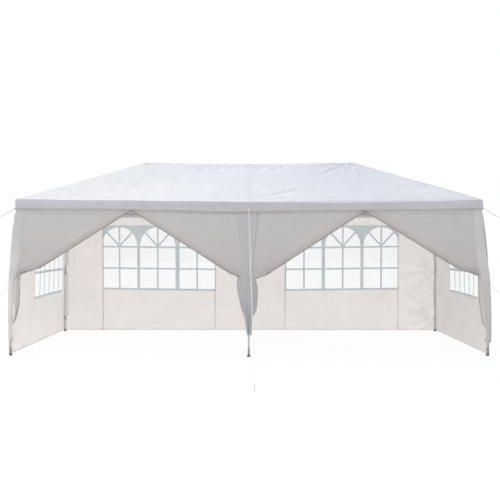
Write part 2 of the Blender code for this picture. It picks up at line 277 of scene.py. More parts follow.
# scales are per metre of cloth, and each bump is its strength and its depth in metres
clothGrain = {
    "ribs": 110.0, "ribBump": (0.10, 0.0006), "cockles": 6.5, "cockleBump": (0.50, 0.020),
    "crumples": 16.0, "crumpleBump": (0.35, 0.008), "crinkles": (30.0, 5.0), "crinkleBump": (0.50, 0.0048),
    "packWander": 0.16, "packWidth": 0.030, "packBump": (0.50, 0.0035),
    "clouds": 2.2, "mostRelief": 1.3, "specular": 0.40,
}


def clothMaterial(name, colour, through, rough=0.55, crease=0.30, mottle=0.03, pulls=0.0, relief=1.0,
                  paintedLightByHeight=None, paintedLightByWidth=None):
    # coated cloth of woven tapes: ribs both ways, packing creases and soft cockles, in the cut's own metres
    mat, tree, shader, out = newMaterial(name)
    g, uv = clothGrain, cutPlace(tree)
    shallow = min(relief, g["mostRelief"])

    def cells(scale, wander):
        return addNode(tree, "ShaderNodeTexVoronoi", feature="DISTANCE_TO_EDGE", Vector=uv, Scale=scale,
                       Randomness=wander).outputs["Distance"]

    ribs = [addNode(tree, "ShaderNodeTexWave", wave_type="BANDS", bands_direction=way, Vector=uv,
                    Scale=g["ribs"], Distortion=0.6).outputs["Fac"] for way in ("X", "Y")]
    weave = addNode(tree, "ShaderNodeMath", dict(enumerate(ribs)), operation="MULTIPLY").outputs["Value"]
    pack = mapRange(tree, cells(1.0 / crease, g["packWander"]), (0.0, g["packWidth"]))
    heights = [(weave, g["ribBump"], 1.0),
               (noiseOf(tree, uv, g["cockles"], 4.0, 0.55), g["cockleBump"], relief),
               (cells(g["crumples"], 1.0), g["crumpleBump"], shallow), (pack, g["packBump"], shallow)]
    # short crinkles that follow the threads of both ways
    tight, loose = g["crinkles"]
    for scale in ((tight, loose, 1.0), (loose, tight, 1.0)):
        place = addNode(tree, "ShaderNodeMapping", Vector=uv, Scale=scale).outputs["Vector"]
        heights.append((noiseOf(tree, place, 1.0, 3.0, 0.6), g["crinkleBump"], relief))
    if pulls:
        heights.append((pullLines(tree, uv, pullShape), (1.0, pulls), 1.0))
    normal = {}
    for height, (strength, depth), times in heights:
        normal = bumpOf(tree, height, strength, depth * times, normal)
    shade = toneRamp(tree, noiseOf(tree, uv, g["clouds"], 5.0, 0.6), colour, mottle, mottle * 0.4)
    # painted light and shade: tints by height and across the cut
    if paintedLightByHeight:
        shade = paintedLightTint(tree, shade, objectPlace(tree), "Z", paintedLightByHeight)
    if paintedLightByWidth:
        shade = paintedLightTint(tree, shade, uv, "X", paintedLightByWidth)
    feed(tree, shader, {"Base Color": shade, "Roughness": rough, "Specular IOR Level": g["specular"]})
    feed(tree, shader, normal)
    letThrough(tree, shader, out, through, shade, normal)
    return mat


def filmMaterial(name, solid, colour, rough):
    # soft clear film with a faint haze and shallow waves
    mat, tree, shader, out = newMaterial(name)
    uv = cutPlace(tree)
    haze = toneRamp(tree, noiseOf(tree, uv, 1.6, 4.0), colour, 0.05, 0.02)
    waves = bumpOf(tree, noiseOf(tree, uv, 3.5, 3.0), 0.35, 0.01)
    feed(tree, shader, {"Base Color": haze, "Roughness": rough, **waves})
    clear = addNode(tree, "ShaderNodeBsdfTransparent", Color=(0.985, 0.99, 0.99, 1))
    mixInto(tree, out, solid, clear.outputs["BSDF"], shader.outputs["BSDF"])
    return mat


def plainMaterial(name, colour, rough, metal=0.0, grain=240.0, depth=0.0002, vary=0.05, through=0.0):
    # coated steel, plastic, tape and cord: fine grain, faint clouding and rub marks, in object metres
    mat, tree, shader, out = newMaterial(name)
    place = objectPlace(tree)
    cloud = noiseOf(tree, place, 9.0, 5.0, 0.65)
    shade = toneRamp(tree, cloud, colour, vary, vary)
    gloss = mapRange(tree, cloud, target=(rough - 0.08, rough + 0.08))
    grains = bumpOf(tree, noiseOf(tree, place, grain, 3.0), 0.25, depth)
    feed(tree, shader, {"Metallic": metal, "Base Color": shade, "Roughness": gloss, **grains})
    if through:
        letThrough(tree, shader, out, through, shade)
    return mat


# the first number of a cloth is the share of light that it passes, and of a plain finish its roughness
cloths = {
    # canopy: painted highlight along the eave band, painted shade towards the ridge, and painted shade that
    # deepens right of the middle
    "canopyCloth": ((0.98, 0.98, 0.99), 0.40, dict(
        rough=0.70, pulls=0.0115, relief=1.6,
        paintedLightByHeight=((1.945, 1.0), (1.972, 0.99), (2.0, (0.940, 0.946, 0.955)), (2.58, (0.925, 0.933, 0.955))),
        paintedLightByWidth=((-1.9, (0.970, 0.970, 0.965)), (0.2, (0.965, 0.967, 0.985)), (1.4, (0.928, 0.933, 0.965)),
                 (2.6, (0.965, 0.967, 0.985))))),
    # valance: a painted-shade copy of the canopy cloth, with a painted sky-blue cast at the top and warm
    # painted shade at its foot
    "valanceCloth": ((0.825, 0.81, 0.858), 0.42, dict(
        relief=2.4, paintedLightByHeight=((1.85, (1.0, 0.975, 0.915)), (1.955, (0.945, 0.965, 0.985))))),
    "wallCloth": ((0.895, 0.87, 0.852), 0.635, dict(relief=2.8)),
    # door curtains: painted light on the tails under the tie, cooler painted shade above it, and warm painted
    # shade towards the fold
    "curtainCloth": ((0.91, 0.87, 0.848), 0.43, dict(
        relief=1.4, paintedLightByHeight=((0.93, 1.0), (1.02, (0.811, 0.805, 0.810)), (1.75, (0.832, 0.838, 0.857))),
        paintedLightByWidth=((0.57, 1.0), (0.735, (1.0, 0.97, 0.94))))),
    # left flap: painted shade that deepens towards the top
    "flapCloth": ((0.95, 0.925, 0.92), 0.36, dict(
        relief=1.3, paintedLightByHeight=((0.45, 0.93), (1.15, 0.91), (1.60, (0.84, 0.84, 0.85))))),
    # right flap: a painted-shade copy of the flap cloth, darkest low down
    "flapShade": ((0.95, 0.92, 0.92), 0.36, dict(
        relief=1.3, paintedLightByHeight=((0.30, 0.79), (0.75, 0.82), (1.15, 0.90), (1.60, (0.87, 0.865, 0.87))))),
    # middle tail: a painted-shade copy of the curtain cloth, darker and bluer low down
    "tailCloth": ((0.73, 0.71, 0.715), 0.34, dict(
        relief=1.5, paintedLightByHeight=((0.50, (0.84, 0.85, 0.88)), (0.85, (0.93, 0.93, 0.95)), (1.15, 1.0)))),
    # pole sleeves: a painted-light copy of the wall cloth
    "sleeveCloth": ((0.98, 0.965, 0.955), 0.70, {}),
    "hemTape": ((0.87, 0.85, 0.84), 0.58, dict(crease=0.5)),
    # back wall seams: a darker tape of painted shade
    "seamTape": ((0.70, 0.68, 0.665), 0.46, dict(crease=0.5)),
}
tapeGrain = dict(grain=900.0, depth=0.0004)
cordGrain = dict(grain=700.0, depth=0.0005)
plains = {
    "windowPrint": ((0.75, 0.78, 0.79), 0.50, dict(grain=500.0, depth=0.0001, vary=0.04, through=0.55)),
    "coatedSteel": ((0.66, 0.65, 0.63), 0.42, dict(metal=0.15)),
    # legs: a painted-shade copy of the frame's coated steel
    "legSteel": ((0.52, 0.51, 0.495), 0.42, dict(metal=0.15)),
    # back leg sleeves: a painted-light copy of the sleeve
    "backSleeve": ((0.54, 0.53, 0.51), 0.50, {}),
    "coatedJoint": ((0.50, 0.50, 0.49), 0.46, dict(metal=0.25)),
    "darkSleeve": ((0.30, 0.295, 0.28), 0.55, dict(vary=0.12)),
    "footCap": ((0.16, 0.16, 0.16), 0.60, dict(vary=0.15)),
    "zinc": ((0.62, 0.62, 0.61), 0.35, dict(metal=0.9)),
    "tieTape": ((0.60, 0.57, 0.50), 0.75, tapeGrain),
    # back left ties: a painted-shade copy of the tie tape
    "tieDark": ((0.44, 0.42, 0.395), 0.75, tapeGrain),
    "zipTape": ((0.30, 0.26, 0.235), 0.70, tapeGrain),
    # ropes: a painted-shade copy of the white cord, and the white cord itself
    "guyCord": ((0.50, 0.51, 0.54), 0.80, cordGrain),
    "guyCordPale": ((0.95, 0.95, 0.97), 0.80, cordGrain),
}
mats = {name: clothMaterial(name, colour, through, **more)
        for name, (colour, through, more) in cloths.items()}
mats["clearFilm"] = filmMaterial("clearFilm", 0.17, (0.93, 0.945, 0.945), 0.16)
mats.update({name: plainMaterial(name, colour, rough, **more)
             for name, (colour, rough, more) in plains.items()})
print("materials made:", len(mats))


# Making of pieces

def meshFrom(bm, name):
    mesh = bpy.data.meshes.new(name)
    bm.to_mesh(mesh)
    bm.free()
    return mesh


def addPiece(bm, name, material, replaced=(), thickness=0.0, offset=0.0, isSmooth=True, more=()):
    mesh = meshFrom(bm, name)
    for key in (material, *more):
        mesh.materials.append(mats[key])
    for face in mesh.polygons:
        face.use_smooth = isSmooth
    piece = addObject(name, mesh)
    if thickness:
        shell = piece.modifiers.new("thickness", "SOLIDIFY")
        shell.thickness, shell.offset = thickness, offset
    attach(piece, "root")
    if replaced:
        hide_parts(*replaced)
    return piece


def bevelEdges(bm, edges, offset, segments):
    bmesh.ops.bevel(bm, geom=edges, offset=offset, offset_type="OFFSET", segments=segments, profile=0.5,
                    affect="EDGES", material=-1)


def closeEnds(bm):
    bmesh.ops.holes_fill(bm, edges=[e for e in bm.edges if e.is_boundary], sides=0)
    bmesh.ops.recalc_face_normals(bm, faces=bm.faces)


def flatGrid(low, high, step):
    # a flat cut from low to high in (along, up), with its own metres as UV
    width, height = high[0] - low[0], high[1] - low[1]
    bm = bmesh.new()
    cut = bm.loops.layers.uv.new("cut")
    bmesh.ops.create_grid(bm, x_segments=max(1, round(width / step)), y_segments=max(1, round(height / step)),
                          size=0.5)
    for v in bm.verts:
        v.co = Vector((low[0] + (v.co.x + 0.5) * width, low[1] + (v.co.y + 0.5) * height, 0))
    for face in bm.faces:
        for loop in face.loops:
            loop[cut].uv = loop.vert.co.xy
    return bm


def cutLines(bm, xs=(), ys=()):
    for axis, values in ((0, xs), (1, ys)):
        for value in values:
            point, normal = Vector((0, 0, 0)), Vector((0, 0, 0))
            point[axis], normal[axis] = value, 1.0
            bmesh.ops.bisect_plane(bm, geom=bm.verts[:] + bm.edges[:] + bm.faces[:], dist=1e-6,
                                   plane_co=point, plane_no=normal)


def mapFlat(bm, place, lift=0.0):
    # carry flat (along, up) points on to the hung cloth; lift goes out of it
    for v in bm.verts:
        v.co = place(v.co.x, v.co.y, v.co.z + lift)


def tape(name, path, width, place, material, lift, step=0.04):
    # a strip sewn along a flat path of (along, up) points; two widths are those of its start and its end
    first, final = width if isinstance(width, tuple) else (width, width)
    points = [Vector(p) for p in path]
    lengths = [(b - a).length for a, b in zip(points, points[1:])]
    bm = flatGrid((0, -first / 2), (sum(lengths), first / 2), step)
    for v in bm.verts:
        v.co.y *= 1 + (final / first - 1) * smooth((v.co.x / sum(lengths) - 0.66) / 0.34)
        run, i = v.co.x, 0
        while i < len(lengths) - 1 and run > lengths[i]:
            run -= lengths[i]
            i += 1
        way = (points[i + 1] - points[i]) / lengths[i]
        q = points[i] + way * run + Vector((-way.y, way.x)) * v.co.y
        v.co = place(q.x, q.y, lift)
    return addPiece(bm, name, material, thickness=0.0006)


def rollTube(bm, points, radius, sides, across):
    # a flat grid rolled round a path, its seam merged and its ends filled; radius is a number or takes (i, a)
    made = bmesh.ops.create_grid(bm, x_segments=len(points) - 1, y_segments=sides, size=0.5)["verts"]
    last = len(points) - 1
    for v in made:
        i, k = round((v.co.x + 0.5) * last), round((v.co.y + 0.5) * sides)
        way = (points[min(i + 1, last)] - points[max(i - 1, 0)]).normalized()
        one = (across - way * across.dot(way)).normalized()
        two = way.cross(one)
        a = 2 * math.pi * (k % sides) / sides
        r = radius(i, a) if callable(radius) else radius
        v.co = points[i] + one * (r * math.cos(a)) + two * (r * math.sin(a))
    bmesh.ops.remove_doubles(bm, verts=made, dist=1e-6)
    closeEnds(bm)


# Canopy: one sewn sheet with its valance, pulled into wrinkles at the ridge ends

canopyShape = {
    "step": 0.0212, "sag": 0.030, "round": 0.020, "cloth": 0.0009, "valanceRows": 5, "eaveRound": 0.009,
    "foldIn": 0.0105, "frontFold": (1.435, 0.051), "creaseEnds": (0.12, 0.35),
    # waves of the roof: metres, scale and seed
    "eaveWave": (0.0045, 1.9, 60.0), "billow": (0.0045, 2.2, 3.0), "crinkle": (0.0016, 9.0, 4.0),
    "hipCockle": (0.0022, 7.5, 12.0), "hipReach": 0.16, "eavePucker": (0.0022, 11.0, 14.0),
    "skirtTop": 1.945, "skirtWave": 0.0050, "backFoot": (1.870, 0.022),
    "weltWidth": 0.014, "hemWidth": 0.09, "hemAt": 0.955,
    "valanceFoot": [(-2.97, 1.860), (-2.2, 1.856), (-1.496, 1.850), (-0.8, 1.833), (-0.137, 1.818),
                    (0.65, 1.836), (1.487, 1.844), (2.3, 1.850), (2.97, 1.860)],
    # how much lower than the eave the front fold lies, by x
    "eaveDrop": [(-2.97, -0.010), (-2.6, -0.007), (-2.35, -0.003), (-1.85, -0.006), (-0.5, -0.005),
                 (0.15, -0.001), (0.5, 0.006), (0.85, 0.011), (1.15, 0.016), (1.7, 0.017), (2.0, 0.013),
                 (2.4, 0.009), (2.75, 0.006), (2.97, 0.002)],
    # creases: from, to, half width, height
    "creases": (
        ((1.42, -0.02), (0.90, -0.40), 0.024, 0.0122), ((1.38, -0.01), (0.80, -0.24), 0.022, -0.0101),
        ((1.40, -0.05), (1.00, -0.42), 0.022, -0.0101), ((1.34, -0.03), (0.86, -0.12), 0.030, -0.0081),
        ((1.45, -0.04), (1.28, -0.40), 0.020, 0.0101), ((1.43, -0.08), (1.18, -0.46), 0.020, -0.0061),
        ((1.50, -0.04), (1.51, -0.44), 0.018, 0.0101), ((1.48, -0.06), (1.42, -0.42), 0.018, -0.0081),
        ((1.54, -0.05), (1.66, -0.42), 0.018, 0.0081), ((1.53, -0.10), (1.58, -0.52), 0.018, -0.0061),
        ((0.70, -1.00), (0.06, -1.38), 0.026, -0.0085), ((0.66, -0.94), (0.10, -1.28), 0.030, 0.0060),
        ((0.02, -0.06), (0.00, -0.50), 0.026, 0.0058), ((-0.10, -0.06), (-0.12, -0.44), 0.022, -0.0043),
        ((0.50, -0.03), (0.30, -0.38), 0.036, -0.0120), ((0.62, -0.04), (0.42, -0.34), 0.028, 0.0060),
        ((0.26, -0.03), (0.10, -0.34), 0.034, -0.0120), ((0.36, -0.04), (0.20, -0.32), 0.024, 0.0060),
        ((-0.36, -0.03), (-0.50, -0.36), 0.046, -0.0087), ((-0.56, -0.04), (-0.74, -0.34), 0.042, -0.0072),
        ((-0.20, -0.04), (-0.30, -0.30), 0.034, -0.0058), ((2.20, -0.80), (2.52, -1.12), 0.022, -0.0120),
        ((2.20, -0.86), (1.90, -1.02), 0.020, 0.0070), ((2.38, -1.02), (2.06, -1.20), 0.018, -0.0070),
        ((2.46, -1.12), (2.18, -1.28), 0.018, 0.0070), ((-2.00, -0.60), (-2.34, -0.94), 0.022, -0.0043),
        # unseen slopes, in the same manner
        ((-1.44, 0.03), (-0.92, 0.44), 0.030, 0.0116), ((-1.46, 0.05), (-1.26, 0.42), 0.024, -0.0087),
        ((-1.51, 0.05), (-1.52, 0.46), 0.022, 0.0087), ((1.45, 0.04), (1.02, 0.36), 0.030, 0.0101),
        ((1.50, 0.05), (1.46, 0.48), 0.022, -0.0087), ((0.01, 0.06), (0.00, 0.62), 0.028, 0.0087),
        ((0.06, 0.08), (0.14, 0.40), 0.026, -0.0072), ((-0.66, 0.96), (-0.14, 1.38), 0.036, -0.0087),
        ((0.80, 0.98), (1.40, 1.34), 0.038, 0.0072), ((2.34, 0.96), (2.02, 1.24), 0.022, 0.0072),
        ((-2.34, 0.98), (-2.04, 1.22), 0.022, -0.0072),
        ((1.60, 0.00), (2.16, 0.02), 0.026, 0.0087), ((1.60, 0.04), (2.02, 0.26), 0.024, -0.0072),
        ((1.60, -0.04), (2.04, -0.24), 0.024, 0.0072), ((-1.60, 0.00), (-2.12, -0.03), 0.026, 0.0087),
        ((-1.60, 0.04), (-2.00, 0.24), 0.024, 0.0072), ((-1.60, -0.05), (-2.04, -0.26), 0.024, -0.0072),
    ),
}


def creaseHeight(x, y, s):
    total = 0.0
    start, end = s["creaseEnds"]
    for (ax, ay), (bx, by), width, height in s["creases"]:
        dx, dy = bx - ax, by - ay
        size = dx * dx + dy * dy
        t = ((x - ax) * dx + (y - ay) * dy) / size
        if t < 0 or t > 1:
            continue
        off = ((x - ax) * dy - (y - ay) * dx) / math.sqrt(size)
        if abs(off) < 3 * width:
            total += height * math.exp(-(off / width) ** 2) * smooth(t / start) * smooth((1 - t) / end)
    return total


def rippleOf(kind, x, y, *shares):
    # a ripple of its own size, scale and seed, times any shares
    size, scale, seed = kind
    for share in shares:
        size *= share
    return size * ripple(x, y, scale, seed)


def roofHeight(x, y, withCreases=True, s=canopyShape):
    # height of the hipped roof over a point of the plan
    ax, ay = abs(x), abs(y)
    endT = (tent["halfX"] - ax) / (tent["halfX"] - tent["ridgeX"])
    sideT = 1 - ay / tent["halfY"]
    blend = max(0.0, s["round"] - abs(endT - sideT)) / s["round"]
    t = max(0.0, min(endT, sideT) - blend * blend * s["round"] * 0.25)
    if endT < sideT:
        halfSpan = max(1e-6, tent["halfY"] * (1 - t))
        low, high = tent["eaveCorner"], tent["ridgeEnd"]
        sag = math.cos(math.pi * min(1.0, ay / halfSpan) / 2)
    else:
        halfSpan = tent["halfX"] + (tent["ridgeX"] - tent["halfX"]) * t
        share = min(1.0, ax / halfSpan)
        low = tent["eaveMiddle"] + (tent["eaveCorner"] - tent["eaveMiddle"]) * share
        high = tent["ridgeMiddle"] + (tent["ridgeEnd"] - tent["ridgeMiddle"]) * share ** 1.3
        sag = math.sin(math.pi * share) ** 1.5
    z = low + (high - low) * t - s["sag"] * math.sin(math.pi * t) * sag
    fromCorner = smooth((tent["halfX"] - ax + tent["halfY"] - ay) / 0.3)
    z += rippleOf(s["eaveWave"], x, y) * (1 - t) * fromCorner
    if y < 0:
        z -= alongTable(s["eaveDrop"], x) * smooth((ay - s["frontFold"][0]) / s["frontFold"][1])
    if not withCreases:
        return z
    inside = smooth(min(t, 1.02 - t) / 0.10)
    z += (rippleOf(s["billow"], x, y) + rippleOf(s["crinkle"], x, y)) * inside
    # cockles close to the hips, and short puckers off the eave
    hip = math.exp(-(abs(endT - sideT) / s["hipReach"]) ** 2) * inside
    z += rippleOf(s["hipCockle"], x * 1.6 + y, y * 0.7, hip)
    z += rippleOf(s["eavePucker"], x, y * 0.2, math.exp(-t / 0.10), smooth(t / 0.03))
    return z + creaseHeight(x, y, s) * smooth(t / 0.04)


def valanceFoot(x, row, s=canopyShape):
    if row < 0:
        return alongTable(s["valanceFoot"], x)
    return s["backFoot"][0] - s["backFoot"][1] * (1 - abs(x) / tent["halfX"])


def skirtWave(x, y, z, s=canopyShape):
    # how far the hanging skirt waves outwards, clear of the walls behind it
    hang = min(1.0, max(0.0, (s["skirtTop"] - z) / 0.08))
    wave = ripple(x + y * 3, z, 2.4, 1.0) + 0.7 * ripple(x - y + 2.5 * z, z * 0.6, 6.5, 2.0)
    return max(0.0, s["skirtWave"] * hang * (0.7 + wave + 0.3 * ripple(x, z, 15.0, 7.0)))


def buildCanopy(s):
    bm = flatGrid((-tent["halfX"], -tent["halfY"]), (tent["halfX"], tent["halfY"]), s["step"])
    cutLines(bm, *[(s["foldIn"] - half, half - s["foldIn"]) for half in (tent["halfX"], tent["halfY"])])
    for v in bm.verts:
        v.co.z = roofHeight(v.co.x, v.co.y)
    roofFaces = len(bm.faces)
    rim = [e for e in bm.edges if e.is_boundary]
    for row in range(1, s["valanceRows"] + 1):
        made = bmesh.ops.extrude_edge_only(bm, edges=rim)["geom"]
        rim = [g for g in made if isinstance(g, bmesh.types.BMEdge) and g.is_boundary]
        part = row / s["valanceRows"]
        for v in {v for e in rim for v in e.verts}:
            x, y = v.co.x, v.co.y
            eave = roofHeight(x, y, False)
            v.co.z = eave + (valanceFoot(x, y) - eave) * part
    bm.faces.ensure_lookup_table()
    cut = bm.loops.layers.uv["cut"]
    for face in bm.faces[roofFaces:]:
        face.material_index = 1
        onLongSide = all(abs(abs(v.co.y) - tent["halfY"]) < 1e-5 for v in face.verts)
        for loop in face.loops:
            co = loop.vert.co
            loop[cut].uv = (co.x if onLongSide else co.y, co.z - 4.0)
    bmesh.ops.recalc_face_normals(bm, faces=bm.faces)
    for v in bm.verts:
        x, y, z = v.co
        out = skirtWave(x, y, z)
        if abs(abs(y) - tent["halfY"]) < 1e-4:
            v.co.y += math.copysign(out, y)
        if abs(abs(x) - tent["halfX"]) < 1e-4:
            v.co.x += math.copysign(out, x)
    fold = [e for e in bm.edges if len({f.material_index for f in e.link_faces}) == 2]
    bevelEdges(bm, fold, s["eaveRound"], 3)
    # the valance faces take the painted-shade copy of the canopy cloth
    return addPiece(bm, "canopySheet", "canopyCloth", ("canopy",), thickness=s["cloth"],
                    offset=-1.0, more=("valanceCloth",))


def roofPlace(x, y, lift):
    return Vector((x, y, roofHeight(x, y) + lift))


def skirtPlace(column, row):
    # flat (along, up) points on to the skirt; up runs 0 at the eave to 1 at its foot
    def place(along, up, lift):
        x, y = (column * tent["halfX"], along) if column else (along, row * tent["halfY"])
        eave = roofHeight(x, y, False)
        z = eave + (valanceFoot(x, row or y) - eave) * up
        out = skirtWave(x, y, z) + lift
        return Vector((x + column * out, y + row * out, z))
    return place


def finishCanopy(canopy, s):
    def hem(name, half, column, row):
        tape("skirtHem" + name, ((-half, s["hemAt"]), (half, s["hemAt"])), s["hemWidth"],
                           skirtPlace(column, row), "valanceCloth", 0.0009, step=0.02)

    for column in (-1, 1):
        for row in (-1, 1):
            path = [(column * (tent["ridgeX"] + 0.02), row * 0.01),
                    (column * (tent["halfX"] - 0.01), row * (tent["halfY"] - 0.01))]
            tape("hipWelt" + joined(rank[row], side[column]), path, s["weltWidth"], roofPlace,
                               "canopyCloth", 0.0008, step=0.02)
        hem("End" + joined(side[column]), 1.484, column, 0)
    for row in (-1, 1):
        hem(joined(rank[row]), 2.968, 0, row)


finishCanopy(buildCanopy(canopyShape), canopyShape)
print("canopy made")


# Walls with windows, hung outside the legs

wallShape = {
    "top": 1.925, "foot": 0.012, "step": 0.032,
    "arch": 0.580, "paneFoot": 0.695, "paneTop": 1.720, "springBar": 1.383, "middleBar": 1.032,
    "bar": 0.028, "footBar": 0.014, "topBar": 0.020, "sill": 0.010,
    "filmStep": 0.06, "filmLap": 0.007, "filmLift": 0.0012, "printLift": -0.0009, "printThick": 0.0006,
    "bayArches": {-1: (-2.1365, -1.5103, -0.864), 1: (0.8857, 1.5208, 2.1502)},
    "bayWindow": {-1: (-2.4025, -0.573), 1: (0.5785, 2.421)},
    "endArches": (-0.628, 0.0, 0.628), "endWindow": (-0.9255, 0.9255), "endHalf": 1.460,
    "endBars": {"bar": 0.036, "arch": 0.590},
    "fanAngles": (47.0, 90.0, 133.0),
    # how far the wind from the left bellies each end wall, and how that changes along it
    "belly": {-1: (0.130, -0.038, 0.028), 1: (0.080, 0.046, -0.026)},
    "bellySpan": (1.40, 6), "bellyRise": (0.94, 0.90, 2.6),
    "ties": (0.985, 0.225), "tieFold": {-1: 0.010, 1: 0.034}, "tieAt": 3.01,
    "edgeFull": 2.945, "edgeBow": {-1: 0.006, 1: 0.022}, "backStill": 2.45, "endStill": 1.25,
    # coarse and fine waves, each (metres, scale, seed), and how they fade near the edges
    "backWaves": ((0.007, 1.3, 5.0), (0.0028, 4.5, 9.0)), "backFade": ((2.97, 0.10), (0.01, 0.30)),
    "endWaves": ((0.007, 1.5, 15.0), (0.0022, 5.0, 19.0)), "endFade": ((1.45, 0.30), (1.93, 0.15)),
    "backGap": 0.0030, "backLoose": 0.004, "endGap": 0.0022,
    # the back walls' slack and its reach along and up; how much they sink by metre, and where that fades
    "slack": 0.010, "slackReach": (2.96, 1.9), "sink": (0.013, -0.5, 2.33), "sinkFade": (1.72, 0.35, 0.4),
}
starShape = {"phases": (0.4, 1.9), "reach": (0.004, 0.95), "folds": (11, 19), "fineShare": 0.5,
             "rise": 0.16, "fall": 0.26}


def starFolds(across, up, ties, size, s=starShape):
    # folds that run into the ties at the leg, across metres away from it
    total = 0.0
    least, most = s["reach"]
    coarse, fine = s["folds"]
    for tieZ, phase in zip(ties, s["phases"]):
        r = math.hypot(across, up - tieZ)
        if least < r < most:
            angle = math.atan2(up - tieZ, across)
            fold = math.cos(coarse * angle + phase) + s["fineShare"] * math.cos(fine * angle + 2 * phase)
            total += size * fold * smooth(r / s["rise"]) * math.exp(-r / s["fall"])
    return total


def wallWaves(along, up, column, waves):
    (coarse, coarseScale, coarseSeed), (fine, fineScale, fineSeed) = waves
    return (coarse * ripple(along, up, coarseScale, coarseSeed + column)
            + fine * ripple(along, up, fineScale, fineSeed))


def backPlace(column, s):
    (edge, edgeFade), (inner, innerFade) = s["backFade"]
    reach, rise = s["slackReach"]
    sink, least, level = s["sink"]
    top, topFade, footFade = s["sinkFade"]

    def place(along, up, lift):
        far = abs(along)
        near = smooth((edge - far) / edgeFade) * smooth((far + inner) / innerFade)
        wave = wallWaves(along, up, column, s["backWaves"])
        wave += starFolds(s["tieAt"] - far, up, s["ties"], s["tieFold"][column])
        slack = s["slack"] * math.sin(math.pi * min(1.0, far / reach))
        slack *= math.sin(math.pi * min(1.0, up / rise))
        # the wall hangs a little lower towards the middle of the tent
        drop = sink * max(least, level - far) * smooth((top - up) / topFade) * smooth(up / footFade)
        out = tent["seat"] + s["backGap"] + near * (wave + s["backLoose"] + slack) + lift
        return Vector((along, legAt(1, 1, up)[1] + out, up - drop))
    return place


def windBelly(column, along, up, s):
    base, lean, curve = s["belly"][column]
    half, flatness = s["bellySpan"]
    middle, height, roundness = s["bellyRise"]
    across = 1 - min(1.0, abs(along) / half) ** flatness
    rise = 1 - min(1.0, abs(up - middle) / height) ** roundness
    return (base + lean * along + curve * along * along) * across * rise


def endPlace(column, s):
    (edge, edgeFade), (top, topFade) = s["endFade"]

    def place(along, up, lift):
        near = smooth((edge - abs(along)) / edgeFade) * smooth((top - up) / topFade)
        wave = wallWaves(along, up, column, s["endWaves"])
        out = legAt(1, 1, up)[0] + tent["seat"] + s["endGap"] + near * wave + lift
        return Vector((column * out + windBelly(column, along, up, s), along, up))
    return place


def prism(bm, outline, low=-0.05, high=0.05):
    # a cutter for one pane
    bottom = [bm.verts.new((p[0], p[1], low)) for p in outline]
    made = bmesh.ops.extrude_face_region(bm, geom=[bm.faces.new(bottom)])["geom"]
    raised = [g for g in made if isinstance(g, bmesh.types.BMVert)]
    bmesh.ops.translate(bm, vec=(0, 0, high - low), verts=raised)


def arcPoint(angle, gap, half, height):
    # where a line beside a fan bar, gap away from its middle, meets the arch
    dx, dz = math.cos(angle), math.sin(angle)
    low, high = 0.0, half * 1.8
    for _ in range(40):
        r = (low + high) / 2
        inside = ((dx * r - dz * gap) / half) ** 2 + ((dz * r + dx * gap) / height) ** 2 < 1
        low, high = (r, high) if inside else (low, r)
    return dx * low - dz * gap, dz * low + dx * gap


def paneOutlines(centre, s):
    # the clear cells of one arch: four under the spring bar and four of the fan
    half, bar = s["arch"] / 2, s["bar"] / 2
    low = s["paneFoot"] + s["footBar"]
    cells = []
    for z0, z1 in ((low, s["middleBar"] - bar), (s["middleBar"] + bar, s["springBar"] - bar)):
        for a, b in ((-half, -bar), (bar, half)):
            cells.append([(centre + a, z0), (centre + b, z0), (centre + b, z1), (centre + a, z1)])
    spring = s["springBar"] + bar
    height = s["paneTop"] - s["topBar"] - spring
    marks = [math.radians(m) for m in (0.0, *s["fanAngles"], 180.0)]
    for i, (a0, a1) in enumerate(zip(marks, marks[1:])):
        gap0 = 0.0 if i == 0 else bar
        gap1 = 0.0 if i == 3 else bar
        first, last = arcPoint(a0, gap0, half, height), arcPoint(a1, -gap1, half, height)
        # the cell's corner by the hub, where its two sides meet
        turn = a1 - a0
        hub = ((gap1 * math.cos(a0) + gap0 * math.cos(a1)) / math.sin(turn),
               (gap1 * math.sin(a0) + gap0 * math.sin(a1)) / math.sin(turn))
        t0, t1 = [math.atan2(p[1] / height, p[0] / half) for p in (first, last)]
        turns = [t0 + (t1 - t0) * k / 9 for k in range(10)]
        arc = [(half * math.cos(t), height * math.sin(t)) for t in turns]
        cells.append([(centre + x, spring + z) for x, z in [hub] + arc])
    return cells


def carve(bm, cells, name):
    # cut the panes out of a flat plate
    cutter = bmesh.new()
    for outline in cells:
        prism(cutter, outline)
    bmesh.ops.recalc_face_normals(cutter, faces=cutter.faces)
    plate = addObject(name + "Plate", meshFrom(bm, name + "Plate"))
    tool = addObject(name + "Cutter", meshFrom(cutter, name + "Cutter"))
    cut = plate.modifiers.new("cells", "BOOLEAN")
    cut.operation, cut.solver, cut.object = "DIFFERENCE", "EXACT", tool
    done = bpy.data.meshes.new_from_object(plate.evaluated_get(bpy.context.evaluated_depsgraph_get()))
    result = bmesh.new()
    result.from_mesh(done)
    for ob in (plate, tool):
        mesh = ob.data
        bpy.data.objects.remove(ob)
        bpy.data.meshes.remove(mesh)
    bpy.data.meshes.remove(done)
    return result


def spread(low, high, step):
    count = max(1, math.ceil((high - low) / step))
    return [low + (high - low) * i / count for i in range(1, count)]


def buildPrint(name, centres, low, high, place, s):
    # grey window bars and filled corners, printed on the film
    bottom, top = s["paneFoot"] - s["sill"], s["paneTop"]
    bm = bmesh.new()
    bmesh.ops.create_cube(bm, size=1.0)
    bmesh.ops.scale(bm, vec=(high - low, top - bottom, s["printThick"]), verts=bm.verts)
    bmesh.ops.translate(bm, vec=((low + high) / 2, (bottom + top) / 2, 0), verts=bm.verts)
    bm = carve(bm, [cell for c in centres for cell in paneOutlines(c, s)], name)
    cutLines(bm, spread(low, high, s["filmStep"]), spread(bottom, top, s["filmStep"]))
    mapFlat(bm, place, s["printLift"])
    return addPiece(bm, name, "windowPrint", isSmooth=False)


